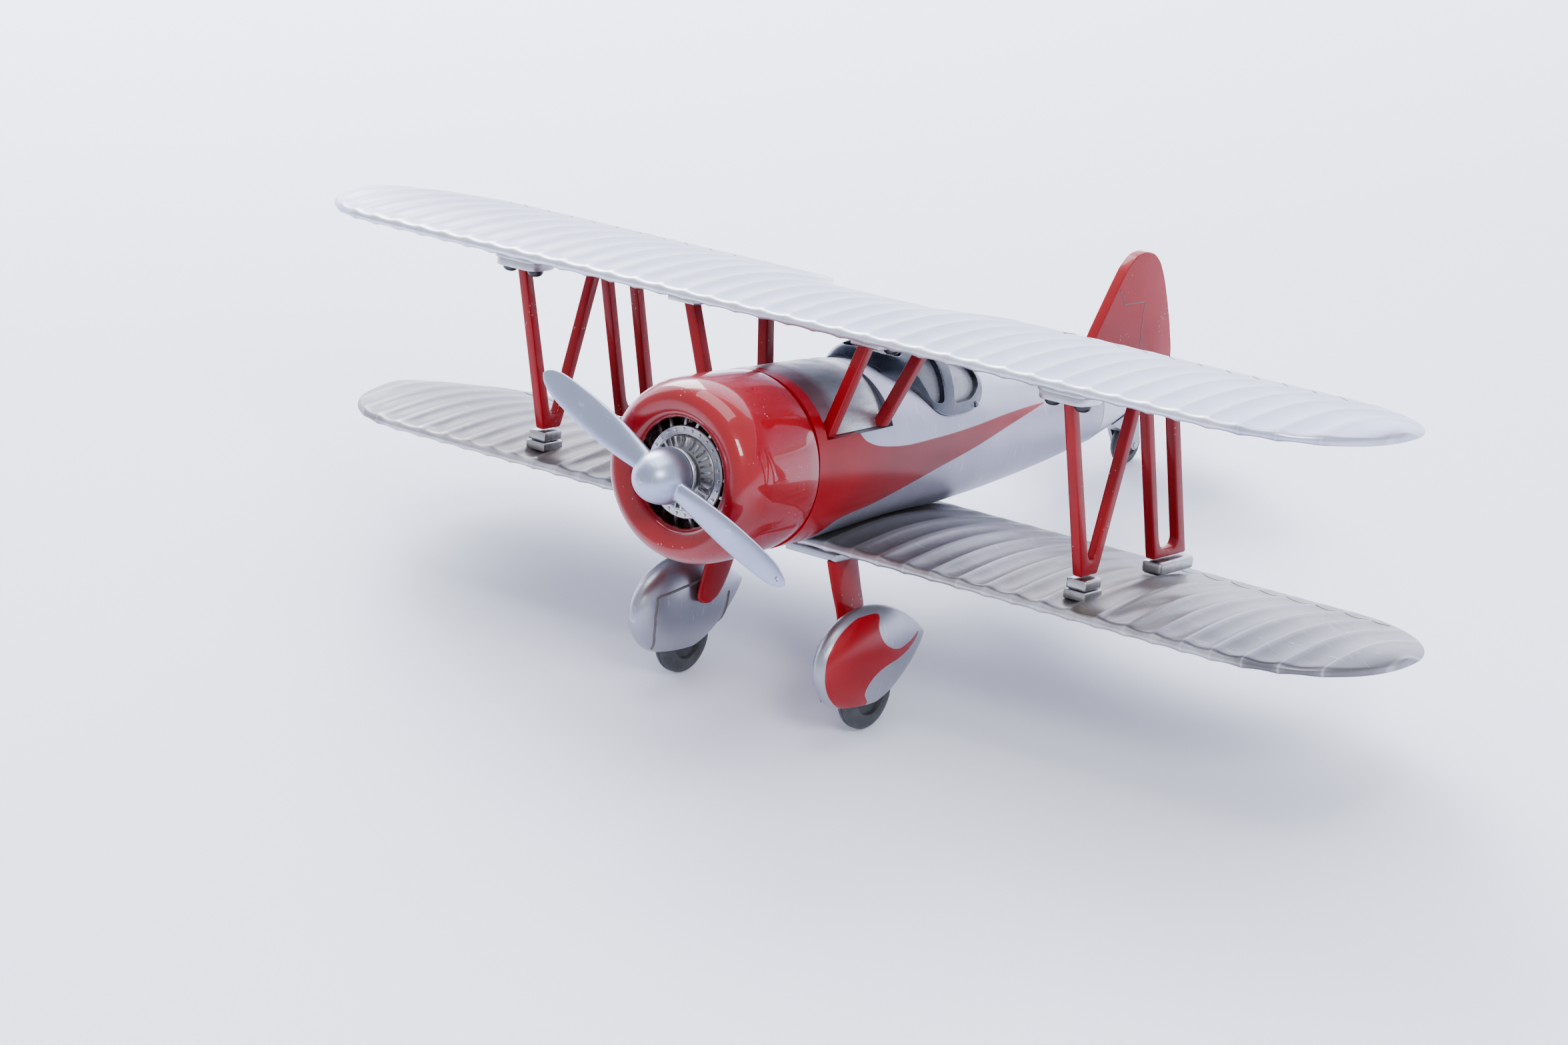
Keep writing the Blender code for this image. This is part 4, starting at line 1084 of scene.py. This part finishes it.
def gear(side, sign):
    x, y, z = sign * WHEEL[0], *WHEEL[1:]
    reach = WHEEL_RADIUS + 0.8
    well = [(y + along, z + up) for along, up in circle(reach, 48)[:25]]
    well += [(y - reach, z - 16), (y + reach, z - 16)]
    tools = (
        plate("wheel_well", well, WHEEL_WIDE + 1, None, x=x),
        box("spat_sole", (20, 60, 10), (x, y, -47.6 - 5), None),
    )
    halves = []
    for name, away, paint in (("outer", -sign, flame), ("inner", sign, silver)):
        half = loft(f"fairing_{side}_{name}", spat_rings(x), paint, cad=f"spat_{side}_{name}")
        halves.append(cut(half, *tools, box("spat_split", (20, 70, 50), (x + away * 10.02, y, z), None)))
    outer, inner = halves
    outline = smooth_outline(FLAME, 5)
    layer = outer.data.attributes.new("flame_depth", "FLOAT", "POINT")
    for vertex, value in zip(outer.data.vertices, layer.data):
        depth = inside_by(outline, vertex.co.y / MM, vertex.co.z / MM)
        value.value = min(depth, sign * vertex.co.x / MM - WHEEL[0] - 1.6) * MM
    for number, line in enumerate(DOOR_LINES):
        route = [(x, along, up) for along, up in line]
        scribe(f"door_line_{side}_{number}", inner, route, (sign, 0, 0), groove, 0.3)
    rings = []
    for i in range(41):
        depth = LEG[0][0] + (LEG[-1][0] - LEG[0][0]) * i / 40
        across, along, long = blend(LEG, depth)
        ring = oval(0.95, long / 2, 36)
        rings.append([(sign * across + a, along + b, -depth) for a, b in ring])
    loft(f"leg_{side}", rings, red, angle=60, cad=f"gear_leg_{side}")
    spot = (sign * 9.9, 16.6, -18.95)
    box(f"leg_plate_{side}", (13.4, 9.4, 1.7), spot, silver, 0.3, cad=f"leg_mount_{side}")
    cylinder(f"pin_{side}", AXLE_RADIUS, 5.6, (x, y, z), bright, edge=0.15, cad=f"axle_{side}")
    wheel(f"wheel_{side}", (x, y, z), WHEEL_RADIUS, WHEEL_WIDE)


def wheel(name, centre, radius, wide):
    half = wide / 2
    bore = AXLE_RADIUS + 0.08
    rim = radius * 0.62
    shoulder = rim + 0.3
    profile = [
        (bore, half * 0.9), (bore + 0.9, half * 0.92), (bore + 1.2, half * 0.6),
        (rim - 0.5, half * 0.55), (rim - 0.2, half * 0.9),
    ]
    for turn in arc(12, 1)[::-1]:
        out = (radius - shoulder) * cos(turn) ** 0.9
        profile.append((shoulder + out, half * sin(turn) ** 0.7))
    profile += [(radius, half * 0.12), (radius - 0.12, half * 0.08)]
    profile += [(across, -along) for across, along in profile[::-1]]
    turned(name + "_tyre", profile, tyre, turn=(0, 90, 0), centre=centre, body=name, cad=name)


# --- tail


def tail():
    foot = TAILPLANE_Z + TAILPLANE_THICK / 2 + 0.12
    fin = [
        (121.4, foot), (126.4, 14.2), (133, 23.8), (136.2, 28.2), (139.6, 30.8), (143.4, 31.4),
        (147.2, 30.6), (150, 28.4), (152.4, 24.6), (154.6, 19.6), (156.8, 14), (158.9, 7.2),
        (159.4, 2.6), (158, -1.4), (154.6, -3.2), (150.7, -2.4), (150.7, foot),
    ]
    keep = (0, 0, *[1.5] * 13, 0.3, 0.3)
    blade = plate("fin_blade", rounded(fin, keep), 2.6, red, 1, 6, cad="tail_fin")
    for side, sign in SIDES:
        route = [(0, 144.8, 9), (0, 144.9, 19.5), (0, 136.4, 19.6), (0, 133.9, 23.2)]
        scribe(f"rudder_line_{side}", blade, route, (-sign, 0, 0), groove, 0.14)

    plan = [
        (3, 124.6), (14, 125.4), (26, 128.4), (33, 132.6), (36, 138), (35.2, 143), (31, 147.4),
        (20, 149.6), (3, 150.2),
    ]
    plan = rounded(plan + [(-x, y) for x, y in plan[::-1]], 2.4)
    where = dict(flat=TAILPLANE_Z, cad="tailplane")
    flat = plate("tailplane_blade", plan, TAILPLANE_THICK, silver, 0.75, 5, **where)
    for side, sign in SIDES:
        route = [(sign * 4, 140.5, 0), (sign * 34, 139.5, 0)]
        scribe(f"elevator_line_{side}", flat, route, DOWN, groove)

    shape = [
        (134.6, -8.2), (144, -5.2), (146.2, -8.4), (147.2, -12.8), (146.8, -15), (145.2, -15.6),
        (143.8, -14.6), (141.6, -11),
    ]
    fork = plate("fork_arms", rounded(shape, 0.6), 5.6, silver, cad="tail_fork")
    cut(fork, cylinder("fork_slot", TAIL_WHEEL_RADIUS + 0.6, TAIL_WHEEL_WIDE + 0.8, TAIL_WHEEL, None))
    bevelled(fork, 0.2)
    cylinder("tail_pin", AXLE_RADIUS, 6, TAIL_WHEEL, bright, edge=0.15, cad="tail_axle")
    wheel("tail_wheel", TAIL_WHEEL, TAIL_WHEEL_RADIUS, TAIL_WHEEL_WIDE)


# --- stage


def area_light(name, spot, target, size, power, colour):
    light = bpy.data.lights.new(name, "AREA")
    light.shape = "RECTANGLE"
    light.size, light.size_y = size
    light.energy = power
    light.color = colour
    obj = new_object(name, light)
    obj.location = spot
    obj.rotation_euler = (Vector(target) - Vector(spot)).to_track_quat("-Z", "Y").to_euler()


def stage():
    """A pale sweep that glows more the further back it is, a broad soft light from the left, two small
    ones in front and a pale sky.
    """
    route = [(-3, 0), (1.2, 0)]
    route += [(1.2 + 0.9 * sin(turn), 0.9 - 0.9 * cos(turn)) for turn in arc(16, 1)]
    points = [(x, y, z) for y, z in (*route, (2.1, 3.5)) for x in (-4, 4)]
    data = bpy.data.meshes.new("sweep")
    data.from_pydata(points, [], [(i, i + 2, i + 3, i + 1) for i in range(0, len(points) - 2, 2)])
    data.shade_smooth()
    s = Shader("sweep_paper_glowing", Roughness=0.75, Emission_Color=(0.86, 0.88, 1, 1))
    # The sweep glows though it is no lamp, from nothing near the aeroplane up to strength 3 at the back.
    backdrop_glow = s.remap(s.axes()[1], 0.25, 1.5, 0, 3)
    connect(backdrop_glow, s.principled.inputs["Emission Strength"])
    s.colour = s.mix(s.noise(2, 2), (0.83, 0.85, 0.98), (0.85, 0.87, 1))
    data.materials.append(s.finish())
    sweep = new_object("sweep", data)
    sweep.rotation_euler = (0, 0, radians(39.6))

    world = bpy.data.worlds.new("sky")
    bpy.context.scene.world = world
    world.use_nodes = True
    sky = world.node_tree.nodes["Background"].inputs
    sky["Color"].default_value = (0.88, 0.90, 1, 1)
    sky["Strength"].default_value = 1.15
    area_light("key", (-0.75, 0.55, 0.75), (0, 0, 0.03), (0.5, 0.7), 20, (1, 0.99, 0.98))
    area_light("overhead", (0, 0.15, 1.1), (0, 0, 0), (0.9, 0.7), 10, (0.97, 0.98, 1))
    for index, lift in enumerate((0.62, 0.82)):
        spot = (0.72, -0.42, lift)
        area_light(f"window_{index}", spot, (0, -0.02, 0.05), (0.26, 0.15), 3.2, (0.98, 0.99, 1))


def settle():
    """Turns every mesh into the frame's axes, so that its box is as tight as the piece."""
    bpy.context.view_layer.update()
    for obj in shown:
        obj.data.transform(AIRFRAME)
        obj.matrix_world = Matrix.Identity(4)
    bpy.context.view_layer.update()


def camera():
    az, el, roll = (radians(angle) for angle in (AZIMUTH, ELEVATION, ROLL))
    back = Vector((sin(az) * cos(el), -cos(az) * cos(el), sin(el)))
    forward = -back
    right = forward.cross(Vector((0, 0, 1))).normalized()
    down = forward.cross(right)
    across = cos(roll) * right + sin(roll) * down
    below = -sin(roll) * right + cos(roll) * down
    local = Matrix((across, -below, back)).transposed().to_4x4()
    lens = bpy.data.cameras.new("camera")
    lens.lens = LENS
    lens.sensor_width = SENSOR
    lens.clip_start = 0.01
    obj = new_object("camera", lens)
    obj.matrix_world = AIRFRAME @ Matrix.Translation(Vector(EYE) * MM) @ local
    bpy.context.scene.camera = obj


# --- assembly

red = red_paint("worn_red", 0.04, 0.22)
pad = bare_metal("pad_metal", (0.60, 0.61, 0.65), (0.42, 0.42, 0.45), 0.3, 0.3)
bright = bare_metal("foot_metal", (0.52, 0.52, 0.54), (0.32, 0.31, 0.31), 0.26, 0.45)
black = dark_metal("screw_black", (0.02, 0.02, 0.022), (0.25, 0.25, 0.26))
silver = silver_paint("spat_silver", (0.36, 0.37, 0.42), (0.25, 0.26, 0.30))
flame = flame_paint("spat_flame")
tyre = rubber("tyre_rubber")
groove = groove_dark("line_dark")

wings()
fuselage()
canopy()
cowl()
engine()
propeller()
for side, sign in SIDES:
    struts(side, sign)
    cabane(side, sign)
    gear(side, sign)
tail()
for cutter in cutters:
    bpy.data.objects.remove(cutter, do_unlink=True)
settle()
stage()
camera()
